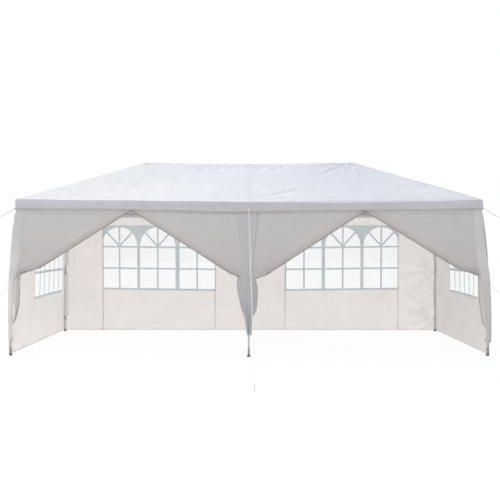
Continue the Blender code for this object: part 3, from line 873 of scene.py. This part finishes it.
def buildWall(name, node, windowNode, rail, low, high, centres, window, place, s, more=()):
    winLow, winHigh = window
    winFoot, winTop, lap = s["paneFoot"] - s["sill"], s["paneTop"], s["filmLap"]
    bm = flatGrid((low, s["foot"]), (high, s["top"]), s["step"])
    cutLines(bm, (winLow, winHigh), (winFoot, winTop))
    inside = [f for f in bm.faces if winLow < f.calc_center_median().x < winHigh
              and winFoot < f.calc_center_median().y < winTop]
    bmesh.ops.delete(bm, geom=inside, context="FACES")
    mapFlat(bm, place)
    wall = addPiece(bm, name, "wallCloth", (node,), thickness=tent["cloth"])
    film = flatGrid((winLow - lap, winFoot - lap), (winHigh + lap, winTop + lap), s["filmStep"])
    mapFlat(film, place, s["filmLift"])
    extras = [addPiece(film, name + "Film", "clearFilm", (windowNode,), thickness=0.0005),
              buildPrint(name + "Print", centres, winLow, winHigh, place, s), *more]

    def upright(along):
        return (along, s["foot"]), (along, s["top"])

    def level(up):
        return (winLow - 0.006, up), (winHigh + 0.006, up)

    for key, path, width in (("SeamLeft", upright(winLow - 0.004), 0.010),
                             ("SeamRight", upright(winHigh + 0.004), 0.010),
                             ("WindowSill", level(winFoot - 0.003), 0.006),
                             ("WindowHead", level(winTop + 0.003), 0.006),
                             ("EdgeLeft", upright(low + 0.007), 0.012),
                             ("EdgeRight", upright(high - 0.007), 0.012)):
        # the back walls' seams take the painted-shade tape
        finish = "seamTape" if "Seam" in key and name.startswith("back") else "hemTape"
        extras.append(tape(name + key, path, width, place, finish, -0.0011))
    width, height = high - low, s["top"] - s["foot"]
    return wall


# across the wrapped edge, how far it lies outside the leg and in front of it
sleeveShape = {
    "wrap": ((1.0, -0.019), (0.84, -0.015), (0.68, 0.000), (0.50, 0.017), (0.26, 0.034), (0.0, 0.056)),
    "forward": ((1.0, 0.002), (0.84, 0.015), (0.68, 0.0195), (0.50, 0.014), (0.26, 0.000), (0.0, -0.0125)),
    "heights": (("Lower", 0.25, 0.925), ("Upper", 1.065, 1.90)), "width": 0.10, "step": 0.010, "loose": 0.003,
}


def buildPoleSleeves(s):
    # the walls' edge, wrapped round the back left leg and laid on the wall, above and below the upper tie
    pieces = []
    for word, low, high in s["heights"]:
        bm = flatGrid((0.0, low), (s["width"], high), s["step"])
        for v in bm.verts:
            share, z = v.co.x / s["width"], v.co.y
            x, y = legAt(-1, 1, z)
            loose = s["loose"] * ripple(share * 2, z, 4.0, 52.0)
            v.co = Vector((x + atHeight(s["wrap"], share), y - atHeight(s["forward"], share) - loose, z))
        bmesh.ops.smooth_vert(bm, verts=[v for v in bm.verts if not v.is_boundary], factor=0.5,
                              use_axis_x=True, use_axis_y=True, use_axis_z=True)
        # the sleeves take the painted-light copy of the wall cloth
        pieces.append(addPiece(bm, "poleSleeve" + word, "sleeveCloth",
                               thickness=tent["cloth"]))
    return pieces


def drawnOut(place, edgeAt, still, full):
    # the outer part of a wall is drawn out to where its edge lies; up to still it keeps its place
    def drawn(along, up, lift):
        a = abs(along)
        if a > still:
            a = still + (a - still) * (edgeAt(up) - still) / (full - still)
        return place(math.copysign(a, along), up, lift)
    return drawn


def buildWalls(s):
    high, low = s["ties"]
    full, half = s["edgeFull"], s["endHalf"]

    def endEdge(up):
        return legAt(1, 1, up)[1] + tent["seat"] - 0.002

    for column in (-1, 1):
        def backEdge(up, bow=s["edgeBow"][column]):
            # the wall widens with the bowed leg, and its free edge draws in between the ties
            draw = bow * math.sin(math.pi * (up - low) / (high - low)) ** 1.4 if low < up < high else 0.0
            return legAt(1, 1, up)[0] + tent["seat"] - 0.003 - draw

        where = side[column]
        ends = (-full, -0.002) if column < 0 else (0.002, full)
        buildWall("backWall" + joined(where), "back_wall_" + where, "back_window_" + where,
                  ["eave_rail_back_" + where], *ends, s["bayArches"][column], s["bayWindow"][column],
                  drawnOut(backPlace(column, s), backEdge, s["backStill"], full), s,
                  buildPoleSleeves(sleeveShape) if column < 0 else ())
        buildWall("endWall" + joined(where), "end_wall_" + where, "end_window_" + where,
                  ["eave_rail_end_" + where], -half, half, s["endArches"], s["endWindow"],
                  drawnOut(endPlace(column, s), endEdge, s["endStill"], half), {**s, **s["endBars"]})


buildWalls(wallShape)
print("walls made")


# Ties that hold the walls to the legs

tieShape = {
    "heights": wallShape["ties"], "width": 0.016, "wideWrap": 0.135, "radius": 0.0175,
    "knotAt": (0.9, 0.6), "tail": 0.055, "tailWidth": 0.7, "tailShift": 0.003, "tailCurl": 0.004,
    "tails": ((-0.010, 1.0), (0.008, 0.8)),     # lean, and share of the longer tail
}


def buildTies(s):
    for row, column in ((-1, -1), (-1, 1), (1, -1), (1, 0), (1, 1)):
        bm = bmesh.new()
        for z in s["heights"]:
            x, y = legAt(column, row, z)
            isWide = (column, row, z) == (-1, 1, s["heights"][0])
            bmesh.ops.create_cone(bm, segments=20, radius1=s["radius"], radius2=s["radius"], cap_ends=False,
                                  depth=s["wideWrap"] if isWide else s["width"],
                                  matrix=Matrix.Translation((x, y, z)))
            # two short ends hang from the knot, on the inner side
            inX, inY = s["knotAt"]
            knot = Vector((x - column * s["radius"] * inX, y - row * s["radius"] * inY, z))
            for lean, share in s["tails"]:
                strip = bmesh.ops.create_grid(bm, x_segments=1, y_segments=6, size=0.5)["verts"]
                for v in strip:
                    part = 0.5 - v.co.y
                    across = v.co.x * s["width"] * s["tailWidth"] + lean * part - column * s["tailShift"]
                    curl = -row * s["tailCurl"] * math.sin(3 * part)
                    v.co = knot + Vector((across, curl, -s["tail"] * share * part))
        # the back left leg's ties take the painted-shade tape
        finish = "wallCloth" if row < 0 else "tieDark" if column < 0 else "tieTape"
        addPiece(bm, "legTies" + joined(rank[row], side[column]), finish, thickness=0.0008)


buildTies(tieShape)
print("ties made")


# Door curtains: each half folded back from the apex and gathered to its leg

curtainShape = {
    "rows": 84, "frontSteps": 40, "pleats": 18, "perPleat": 8, "clothWidth": 1.46,
    "tieZ": 1.015, "top": 1.925, "gatherTop": 1.30, "depths": (0.004, 0.026, 0.042), "clear": 0.0015,
    "bayMiddle": 1.5, "crest": 0.0085, "swell": 0.0050, "cockle": 0.0016, "gather": 0.0020,
    "hangFold": 0.0032, "cut": (1.47, 1.86), "reach": (0.020, 0.042), "pleatDepth": 0.034,
    "outerCorner": {
        -1: ((1.925, 2.950), (1.86, 2.954), (1.787, 2.982), (1.596, 3.005), (1.342, 3.027), (1.024, 3.042),
             (0.99, 2.990), (0.706, 2.980), (0.60, 2.966), (0.50, 2.972), (0.40, 3.000)),
        1: ((1.925, 2.950), (1.86, 2.954), (1.786, 2.967), (1.595, 2.980), (1.342, 3.010), (1.025, 3.044),
            (0.835, 3.061), (0.581, 3.068), (0.175, 3.065))},
    "innerCorner": {
        -1: ((1.925, 1.497), (1.84, 1.497), (1.109, 2.655), (1.068, 2.782), (1.03, 2.905), (0.842, 2.906),
             (0.632, 2.914), (0.490, 2.949), (0.405, 2.983)),
        1: ((1.925, 1.482), (1.828, 1.482), (1.109, 2.640), (1.060, 2.782), (1.01, 2.902), (0.898, 2.912),
            (0.700, 2.915), (0.517, 2.938), (0.395, 2.955), (0.360, 3.012), (0.315, 3.007), (0.175, 3.018))},
    "innerMiddle": {
        -1: ((1.925, 1.491), (1.84, 1.491), (1.10, 0.330), (1.043, 0.239), (1.003, 0.136), (0.934, 0.148),
             (0.864, 0.147), (0.754, 0.127), (0.600, 0.092), (0.502, 0.058), (0.448, 0.050), (0.419, 0.033),
             (0.28, 0.026)),
        1: ((1.925, 1.476), (1.828, 1.476), (1.09, 0.330), (1.017, 0.218), (0.982, 0.084), (0.880, 0.111),
            (0.740, 0.114), (0.586, 0.096), (0.502, 0.048), (0.435, 0.041), (0.28, 0.036))},
    "seam": ((1.925, 0.001), (0.26, 0.001)),
    "foot": {"LeftOuter": 0.405, "RightOuter": 0.175, "LeftInner": 0.28, "RightInner": 0.28},
    "hemWave": {"LeftOuter": 0.030, "RightOuter": 0.0, "LeftInner": 0.024, "RightInner": 0.024},
}


def curtainLine(x, z):
    # inner face of the door curtains, against the front of the legs
    middle = legAt(0, -1, z)[1]
    cornerX, corner = legAt(1, -1, z)
    return middle + (corner - middle) * min(1.0, abs(x) / cornerX) - tent["seat"]


def bundleDepth(z, s):
    # how far the cloth bunches forward: flat above, gathered to the tie and fuller under it
    flat, tied, hanging = s["depths"]
    if z > s["tieZ"]:
        return flat + (tied - flat) * smooth((s["gatherTop"] - z) / (s["gatherTop"] - s["tieZ"]))
    return tied + (hanging - tied) * smooth((s["tieZ"] - z) / 0.15)


def frontPoint(column, inner, outer, u, z, s):
    # the seen face: u runs 0 at the leg's edge to 1 at the fold
    a, b = atHeight(inner, z), atHeight(outer, z)
    tie, depth = s["tieZ"], bundleDepth(z, s)
    x = b + (a - b) * u
    y = curtainLine(x, z) - s["clear"]
    if z > tie - 0.02:
        tieX = atHeight(inner, tie) * (1.0 if b > s["bayMiddle"] else 0.5)
        y -= (depth - 0.002) * smooth((1.35 - z) / 0.3)
        r = math.hypot(x - tieX, z - tie)
        angle = math.atan2(z - tie, abs(x - tieX) + 1e-6)
        edge = smooth(u / 0.10) * smooth((1.0 - u) / 0.04)
        # folds drawn out of the tie, sharp at their crests
        crest = 1 - abs(math.sin(8.5 * angle + 0.35 * column)) ** 0.7
        y -= s["crest"] * crest * math.exp(-r / 0.42) * smooth(r / 0.07) * edge
        y -= s["swell"] * (0.5 + ripple(x, z, 1.5, 30.0 + column)) * smooth((1.82 - z) / 0.4) * edge
        y -= s["cockle"] * ripple(x, z, 7.0, 33.0 + column) * edge
        # short gathers where the heading is sewn to the eave
        y -= s["gather"] * ripple(x * 3.0, z * 0.4, 6.0, 36.0) * smooth((z - 1.70) / 0.15) * edge
    else:
        y -= (depth - 0.002) * (0.35 + 0.65 * math.sin(math.pi * (0.08 + 0.84 * u)))
        inside = smooth((tie - z) / 0.1) * smooth(u / 0.2) * smooth((1 - u) / 0.2)
        y -= s["hangFold"] * math.cos(5.0 * math.pi * u + 1.5 * column + 2.0 * z) * inside
    return x, y


def curtainPoint(column, inner, outer, u, z, s):
    if u <= 1.0:
        x, y = frontPoint(column, inner, outer, u, z, s)
        return Vector((column * x, y, z))
    # behind the fold the rest of the width hangs in pleats
    a, b = atHeight(inner, z), atHeight(outer, z)
    tie, depth, t = s["tieZ"], bundleDepth(z, s), u - 1.0
    width = abs(b - a)
    spare = max(0.04, s["clothWidth"] - width)
    reach = min(width * 0.97, s["reach"][0] + s["reach"][1] * smooth((1.86 - z) / 0.40))
    step = spare / (2 * s["pleats"])
    fold = math.sqrt(max(0.0, step * step - (reach / (2 * s["pleats"])) ** 2))
    fold = min(fold, s["pleatDepth"] if z > tie else depth - 0.010)
    inward = reach * (0.36 * t + 0.64 * t ** 4)     # the pleats thin out away from the fold
    x = a + math.copysign(inward, b - a)
    wave = 0.5 - 0.5 * math.cos(2 * math.pi * s["pleats"] * t)
    wave *= 0.82 + 0.18 * math.sin(13.7 * t + 2.0 + 3.0 * z)
    frontY = frontPoint(column, inner, outer, max(0.0, 1 - inward / max(width, 1e-4)), z, s)[1]
    behind = frontY + 0.0045 * smooth(t / 0.03) + fold * wave
    inFront = frontY + 0.0030 * smooth(t / 0.03) + min(fold, depth - 0.012) * wave * 0.9
    y = inFront + (behind - inFront) * smooth((z - tie + 0.02) / 0.12)
    if x > 2.90 if b > s["bayMiddle"] else x < 0.075:
        y = min(y, curtainLine(x, z) - s["clear"])   # clear of the leg
    return Vector((column * x, y, z))


def buildCurtain(name, node, column, inner, outer, part, s):
    back = s["pleats"] * s["perPleat"]
    total = s["frontSteps"] + back
    bm = bmesh.new()
    cut = bm.loops.layers.uv.new("cut")
    bmesh.ops.create_grid(bm, x_segments=total, y_segments=s["rows"], size=0.5)
    share = {}
    for v in bm.verts:
        i, j = round((v.co.x + 0.5) * total), v.co.y + 0.5
        u = i / s["frontSteps"] if i <= s["frontSteps"] else 1 + (i - s["frontSteps"]) / back
        low = s["foot"][part] + s["hemWave"][part] * (0.5 + 0.5 * math.sin(9 * u + 2 * column))
        z = low + (s["top"] - low) * j
        share[v.index] = (u * 0.735, z)
        v.co = curtainPoint(column, inner, outer, u, z, s)
    for face in bm.faces:
        for loop in face.loops:
            loop[cut].uv = share[loop.vert.index]
    if column > 0:
        bmesh.ops.reverse_faces(bm, faces=bm.faces)
    return addPiece(bm, name, "curtainCloth", (node,), thickness=tent["cloth"])


def shareAcross(x, a, b):
    # 0 at the leg's edge and 1 at the fold
    return max(0.0, min(1.0, (x - b) / (a - b))) if abs(a - b) > 1e-6 else 1.0


def frontFace(x, z, isCorner, s):
    # how far forward the curtains come at a point
    column = -1 if x < 0 else 1
    inner = s["innerCorner" if isCorner else "innerMiddle"][column]
    outer = s["outerCorner"][column] if isCorner else s["seam"]
    u = shareAcross(abs(x), atHeight(inner, z), atHeight(outer, z))
    return frontPoint(column, inner, outer, u, z, s)[1]


def curtainPlace(column, inner, outer, s):
    # flat (x, z) points carried on to the seen face
    def place(x, z, lift):
        u = shareAcross(x, atHeight(inner, z), atHeight(outer, z))
        px, py = frontPoint(column, inner, outer, u, z, s)
        return Vector((column * px, py - lift, z))
    return place


def edgePath(inner, offset, low=0.99, high=1.85):
    # the folded edge between two heights, moved offset into the cloth
    rows = [Vector((x, z)) for z, x in inner if low <= z <= high]
    points = []
    for i, p in enumerate(rows):
        way = rows[min(i + 1, len(rows) - 1)] - rows[max(i - 1, 0)]
        normal = Vector((-way.y, way.x)).normalized()
        towards = normal.y if high > 1.2 else normal.x * (1 if p.x > curtainShape["bayMiddle"] else -1)
        points.append(p + (normal if towards > 0 else -normal) * offset)
    return points


# flat outlines of the cloth edges that hang in front of each leg: height, left bound, right bound
flapShape = {
    "Middle": ((1.90, -0.205, 0.135), (1.66, -0.150, 0.122), (1.41, -0.122, 0.082), (1.25, -0.112, 0.068),
               (1.06, -0.104, 0.052), (1.00, -0.128, 0.062), (0.94, -0.142, 0.094), (0.88, -0.142, 0.106),
               (0.74, -0.120, 0.108), (0.60, -0.088, 0.092), (0.50, -0.052, 0.046), (0.44, -0.044, 0.037),
               (0.275, -0.024, 0.036)),
    "Left": ((1.90, -2.957, -2.858), (1.60, -3.008, -2.874), (1.30, -3.032, -2.902), (1.06, -3.044, -2.934),
             (0.95, -3.047, -2.976), (0.70, -3.053, -2.986), (0.45, -3.052, -2.996), (0.20, -3.046, -3.006)),
    "Right": ((1.90, 2.842, 2.957), (1.55, 2.852, 2.985), (1.27, 2.882, 3.020), (1.06, 2.918, 3.046),
              (0.95, 2.950, 3.056), (0.70, 2.962, 3.066), (0.52, 2.984, 3.070), (0.39, 3.000, 3.070),
              (0.35, 3.020, 3.070), (0.175, 3.022, 3.066)),
}


def buildFlap(word, s):
    rows = flapShape[word]
    lows, highs = [(z, a) for z, a, _ in rows], [(z, b) for z, _, b in rows]
    foot, top, width = rows[-1][0], rows[0][0], 0.14
    bm = flatGrid((0.0, foot), (width, top), 0.0125)
    for v in bm.verts:
        u, z = v.co.x / width, v.co.y
        a, b = atHeight(lows, z), atHeight(highs, z)
        x = a + (b - a) * u
        # the edge beside the curtain lies down on it, so that no line shows there
        free = {"Left": 1 - u, "Middle": min(u, 1 - u), "Right": u}[word]
        loose = smooth((b - a) * free / 0.030)
        y = frontFace(x, z, word != "Middle", s) + 0.0016 - 0.0050 * loose
        y -= 0.0030 * loose * (0.5 + ripple(x * 5, z, 1.3, 40.0)) * smooth((1.88 - z) / 0.2)
        # lengthwise folds of the bunched edge, deepest under the tie
        y -= 0.0040 * loose * (1 + math.sin(3.5 * math.pi * u + 1.2 * z + 0.5)) * smooth((1.10 - z) / 0.15)
        v.co = Vector((x, y, z + 0.008 * math.sin(11 * u) * (1 - min(1.0, (z - foot) / 0.06))))
    # the middle and the right flap take painted-shade copies of the cloth
    finish = {"Left": "flapCloth", "Middle": "tailCloth", "Right": "flapShade"}[word]
    return addPiece(bm, "legFlap" + word, finish, thickness=tent["cloth"])


def buildCurtains(s):
    flaps = {word: buildFlap(word, s) for word in flapShape}
    for column in (-1, 1):
        for part, inner, outer in (("Outer", s["innerCorner"][column], s["outerCorner"][column]),
                                   ("Inner", s["innerMiddle"][column], s["seam"])):
            where, word = side[column], joined(side[column])
            name = "doorCurtain" + word + part
            curtain = buildCurtain(name, "door_curtain_%s_%s" % (where, part.lower()), column, inner, outer,
                                   word + part, s)
            place = curtainPlace(column, inner, outer, s)
            apex, leg = atHeight(inner, 1.80), atHeight(outer, 1.80)
            heading = [(leg + (apex - leg) * k, 1.806) for k in (0.02, 0.98)]
            # the zip tape is real; its widening towards the tie is painted shade of the gathered bundle
            extras = [tape(name + key, path, width, place, finish, lift, step=step)
                      for key, path, width, finish, lift, step in (
                          ("Zip", edgePath(inner, 0.004), (0.009, 0.024), "zipTape", 0.0013, 0.012),
                          ("ZipTail", edgePath(inner, 0.002, 0.29, 1.012), 0.004, "zipTape", 0.0013, 0.02),
                          ("Stitch", edgePath(inner, 0.056), 0.005, "curtainCloth", 0.0009, 0.02),
                          ("Hem", edgePath(inner, 0.018), 0.032, "curtainCloth", -0.0022, 0.03),
                          ("Heading", heading, 0.006, "hemTape", 0.0012, 0.03))]
            if part == "Outer":
                extras.append(flaps[word])
            elif column < 0:
                extras.append(flaps["Middle"])
            leg = "leg_front_" + (where if part == "Outer" else "middle")


buildCurtains(curtainShape)
print("curtains made")


# slider and pull: how far under the apex, and size
zipShape = {"apex": {-1: (-1.494, 1.840), 1: (1.479, 1.828)}, "forward": 0.010, "round": 0.0007,
            "parts": ((0.004, (0.009, 0.005, 0.013)), (0.032, (0.007, 0.002, 0.042)))}


def buildZipPulls(s):
    for column, (x, apexZ) in s["apex"].items():
        y = curtainLine(x, apexZ) - s["forward"]
        bm = bmesh.new()
        for drop, size in s["parts"]:
            bmesh.ops.create_cube(bm, size=1.0, matrix=Matrix.Translation((x, y - drop * 0.1, apexZ - drop))
                                  @ Matrix.Diagonal((*size, 1)))
        bevelEdges(bm, bm.edges[:], s["round"], 2)
        addPiece(bm, "zipPull" + joined(side[column]), "footCap", isSmooth=False)


buildZipPulls(zipShape)


# Legs: swaged tube, dark sleeve and foot cap, each as rings of (height, radius)

collar, swage, cap = 0.0136, 0.99, 0.0225
legShape = {
    "sides": 20,
    "tube": [(z, 0.0115) for z in (0.020, 0.35, 0.60, swage - 0.012)]
    + [(swage - 0.004, 0.0129), (swage + 0.030, 0.0127)]
    + [(z, 0.0125) for z in (swage + 0.034, 1.15, 1.30, 1.45, 1.60, 1.72, 1.85)],
    "sleeve": [(0.026, collar - 0.001), (0.030, collar), (0.096, collar), (0.100, collar - 0.0014)],
    "cap": [(0.0, cap - 0.002), (0.002, cap), (0.010, cap), (0.013, cap - 0.002), (0.024, 0.0185),
            (0.029, 0.0165)],
}


def legPiece(name, material, column, row, levels, sides, replaced=()):
    bm = bmesh.new()
    points = [Vector((*legAt(column, row, z), z)) for z, _ in levels]
    rollTube(bm, points, lambda i, a: levels[i][1], sides, Vector((0, 1, 0)))
    addPiece(bm, name, material, replaced)


def buildLegs(s):
    for row in (-1, 1):
        for column in (-1, 0, 1):
            node = "leg_%s_%s" % (rank[row], side[column])
            word = joined(rank[row], side[column])
            tube = s["tube"] + [(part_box(node)[1].z, s["tube"][-1][1])]
            # the legs take the painted-shade copy of the coated steel
            legPiece("legTube" + word, "legSteel", column, row, tube, s["sides"], (node,))
            # the back legs' sleeves take the painted-light copy
            legPiece("legSleeve" + word, "backSleeve" if row > 0 else "darkSleeve", column, row, s["sleeve"],
                     s["sides"])
            bm = bmesh.new()
            for z, r in s["cap"]:
                centre = Matrix.Translation((*legAt(column, row, 0), z))
                bmesh.ops.create_circle(bm, segments=28, radius=r, matrix=centre)
            bmesh.ops.bridge_loops(bm, edges=bm.edges[:])
            closeEnds(bm)
            addPiece(bm, "footCap" + word, "footCap")


buildLegs(legShape)
print("legs made")


# Guy ropes: laid cord with knots, runners and pegs

ropeShape = {
    "radius": 0.0030, "strand": 0.0005, "sides": 12, "pitch": 0.012, "step": 0.003, "topZ": 1.868,
    "knot": 0.0080, "knotCord": 0.0024, "knotTurns": 5, "knotSteps": 60,
    "runner": 0.62, "runnerSize": (0.011, 0.020, 0.034), "runnerRound": 0.16,
    "peg": 0.0042, "pegTop": 0.068, "pegLean": 0.012, "hook": 0.009, "hookEnd": 0.014, "loopZ": 0.040,
    "lines": (("front_left", (-2.970, -1.486), (-5.670, -2.486)),
              ("front_middle", (0.0, -1.486), (0.071, -3.973)),
              ("front_right", (2.970, -1.486), (5.670, -2.486)),
              ("back_left", (-2.970, 1.486), (-4.970, 3.036)),
              ("back_middle", (0.0, 1.486), (0.0, 3.973)),
              ("back_right", (2.970, 1.486), (4.970, 3.036))),
}


def buildKnots(word, finish, centres, turn, s):
    # cord wound into a small ball at each end
    bm = bmesh.new()
    across, up, axis = turn
    for centre, size in centres:
        points = []
        for i in range(s["knotSteps"] + 1):
            part = i / s["knotSteps"]
            a, b = 2 * math.pi * s["knotTurns"] * part, math.pi * (0.15 + 0.7 * part)
            points.append(centre + (across * (math.cos(a) * math.sin(b)) + up * (math.sin(a) * math.sin(b))
                                    + axis * math.cos(b)) * (size - s["knotCord"]))
        rollTube(bm, points, s["knotCord"], 8, axis)
    addPiece(bm, "guyKnot" + word, finish)


def buildRunner(word, finish, centre, turn, s):
    # a small moulded bar that the cord passes through
    bm = bmesh.new()
    bmesh.ops.create_cube(bm, size=1.0)
    bevelEdges(bm, bm.edges[:], s["runnerRound"], 3)
    matrix = Matrix.Translation(centre) @ Matrix(turn).transposed().to_4x4()
    bmesh.ops.transform(bm, matrix=matrix @ Matrix.Diagonal((*s["runnerSize"], 1)), verts=bm.verts)
    addPiece(bm, "guyRunner" + word, finish)


def buildPeg(word, foot, away, s):
    # a round rod with a hooked head, driven in leaning away
    bm = bmesh.new()
    lean = away * s["pegLean"]
    low = foot - lean
    head = low + lean * 0.8 + Vector((0, 0, s["pegTop"] - 0.010))
    points = [low, low.lerp(head, 0.5), head]
    points += [head + away * (s["hook"] * (1 - math.cos(a))) + Vector((0, 0, s["hook"] * math.sin(a)))
               for a in [math.pi * i / 8 for i in range(1, 9)]]
    points.append(points[-1] - Vector((0, 0, s["hookEnd"])))
    rollTube(bm, points, s["peg"], 12, away.cross(Vector((0, 0, 1))))
    addPiece(bm, "groundPeg" + word, "zinc")


def buildRopes(s):
    for key, top, foot in s["lines"]:
        word = joined(*key.split("_"))
        # all ropes but the front middle one take the painted-shade cord
        finish = "guyCordPale" if key == "front_middle" else "guyCord"
        away = Vector((foot[0] - top[0], foot[1] - top[1], 0)).normalized()
        push = Vector((math.copysign(1, top[0]) if top[0] else 0, math.copysign(1, top[1]), 0)).normalized()
        start = Vector((*top, s["topZ"])) + push * (s["knot"] + 0.001)
        pegFoot = Vector((*foot, 0))
        end = pegFoot - away * 0.008 + Vector((0, 0, s["loopZ"]))
        axis = (end - start).normalized()
        across = axis.orthogonal().normalized()
        turn = (across, axis.cross(across), axis)
        count = int((end - start).length / s["step"])

        def strands(i, a):
            return s["radius"] + s["strand"] * math.cos(3 * a - 2 * math.pi * i * s["step"] / s["pitch"])
        bm = bmesh.new()
        rollTube(bm, [start.lerp(end, i / count) for i in range(count + 1)], strands, s["sides"], across)
        addPiece(bm, "guyRope" + word, finish, ("guy_rope_" + key,))
        buildKnots(word, finish, ((start, s["knot"]), (end - axis * 0.012, s["knot"] * 0.70)), turn, s)
        buildRunner(word, finish, end - axis * s["runner"], turn, s)
        buildPeg(word, pegFoot, away, s)


buildRopes(ropeShape)
print("ropes and pegs made")


# Frame: its own pieces get their finish, and the joints their screws

screwShape = {"radius": 0.0050, "tip": 0.0031, "height": 0.0034, "at": 0.062, "sunk": 0.35,
              "legZ": (1.88, 1.85)}     # where the corner and the middle legs leave their joints


def eaveJoint(column, row):
    if column:
        return Vector((column * tent["jointX"], row * tent["jointY"], tent["jointZ"]))
    return Vector((0, row * tent["middleJointY"], tent["middleJointZ"]))


def ridgeJoint(column):
    return Vector((column * tent["ridgeX"], 0, tent["ridgeJointZ"] if column else tent["ridgeMiddleJointZ"]))


def frameJoints(legZ):
    # each joint, and where the tubes that meet in it go
    def legEnd(column, row):
        z = legZ[0 if column else 1]
        return Vector((*legAt(column, row, z), z))

    joints = []
    for row in (-1, 1):
        for column in (-1, 1):
            joints.append((eaveJoint(column, row), (eaveJoint(0, row), eaveJoint(column, -row),
                                                    ridgeJoint(column), legEnd(column, row))))
        joints.append((eaveJoint(0, row), (eaveJoint(-1, row), eaveJoint(1, row), ridgeJoint(0),
                                           legEnd(0, row))))
    for column in (-1, 1):
        joints.append((ridgeJoint(column), (ridgeJoint(0), eaveJoint(column, -1), eaveJoint(column, 1))))
    joints.append((ridgeJoint(0), (ridgeJoint(-1), ridgeJoint(1), eaveJoint(0, -1), eaveJoint(0, 1))))
    return joints


def buildScrews(s):
    bm = bmesh.new()
    for centre, targets in frameJoints(s["legZ"]):
        for target in targets:
            way = (target - centre).normalized()
            inward = Vector((-centre.x * 0.3, -centre.y, -0.9))
            out = (inward - way * inward.dot(way)).normalized()
            at = centre + way * s["at"] + out * (tent["joint"] + s["height"] * s["sunk"])
            turn = out.to_track_quat("Z", "Y").to_matrix().to_4x4()
            bmesh.ops.create_cone(bm, segments=14, cap_ends=True, radius1=s["radius"], radius2=s["tip"],
                                  depth=s["height"], matrix=Matrix.Translation(at) @ turn)
    bmesh.ops.recalc_face_normals(bm, faces=bm.faces)
    addPiece(bm, "jointScrews", "zinc", isSmooth=False)


def finishFrame(words):
    for ob in bpy.data.objects:
        if ob.type == "MESH" and ob.name in frame["nodes"] and any(word in ob.name for word in words):
            ob.data.materials.clear()
            ob.data.materials.append(mats["coatedJoint" if "joint" in ob.name else "coatedSteel"])


buildScrews(screwShape)
finishFrame(("rail", "rafter", "pole", "joint"))
print("frame finished")


# Floor and studio light

studio = {
    "floorHalf": 60.0, "floor": (0.14, 0.14, 0.14, 1), "floorGlow": 0.88, "floorRough": 0.9,
    "sky": (0.795, 0.895), "skyBand": (-0.05, 0.75), "skyBack": 0.12, "skyColour": (0.93, 0.965, 1.0, 1),
    "sun": 1.6, "sunAngle": 32.0, "sunFrom": (-0.28, 0.66, 0.68), "sunColour": (1.0, 0.965, 0.92),
    "lampPlace": (-9.0, -5.0, 6.0), "lampAt": (0.0, 0.0, 1.4), "lampSize": 5.0, "lampPower": 185.0,
}
white = (1.0, 1.0, 1.0, 1.0)


def buildFloor(s):
    bm = bmesh.new()
    bmesh.ops.create_grid(bm, x_segments=1, y_segments=1, size=s["floorHalf"])
    floor = addObject("studioFloor", meshFrom(bm, "studioFloor"))
    mat, tree, shader, _ = newMaterial("studioFloor")
    feed(tree, shader, {"Base Color": s["floor"], "Roughness": s["floorRough"], "Specular IOR Level": 0.0,
                        "Emission Color": white, "Emission Strength": s["floorGlow"]})
    floor.data.materials.append(mat)


def buildSky(s):
    # white for the camera, and a pale sky that is lighter overhead for everything else
    world = bpy.data.worlds.new("studioSky")
    bpy.context.scene.world = world
    world.use_nodes = True
    tree = world.node_tree
    way = addNode(tree, "ShaderNodeTexCoord").outputs["Generated"]
    split = addNode(tree, "ShaderNodeSeparateXYZ", Vector=way)
    rise = mapRange(tree, split.outputs["Z"], s["skyBand"], s["sky"])
    terms = {0: split.outputs["Y"], 1: s["skyBack"], 2: rise}
    power = addNode(tree, "ShaderNodeMath", terms, operation="MULTIPLY_ADD").outputs["Value"]
    sky = feed(tree, tree.nodes["Background"], {"Color": s["skyColour"], "Strength": power})
    plain = addNode(tree, "ShaderNodeBackground", Color=white)
    isCamera = addNode(tree, "ShaderNodeLightPath").outputs["Is Camera Ray"]
    mixInto(tree, tree.nodes["World Output"], isCamera, sky.outputs["Background"],
            plain.outputs["Background"])


def buildLamps(s):
    sun = bpy.data.lights.new("softSun", "SUN")
    sun.energy, sun.angle, sun.color = s["sun"], math.radians(s["sunAngle"]), s["sunColour"]
    turnTo(addObject("softSun", sun), -Vector(s["sunFrom"]))
    panel = bpy.data.lights.new("sidePanel", "AREA")
    panel.size, panel.energy = s["lampSize"], s["lampPower"]
    lamp = addObject("sidePanel", panel)
    lamp.visible_camera = False
    lamp.location = s["lampPlace"]
    turnTo(lamp, Vector(s["lampAt"]) - lamp.location)


buildFloor(studio)
buildSky(studio)
buildLamps(studio)
bpy.context.scene.view_settings.view_transform = "Standard"
print("stage and lights made")
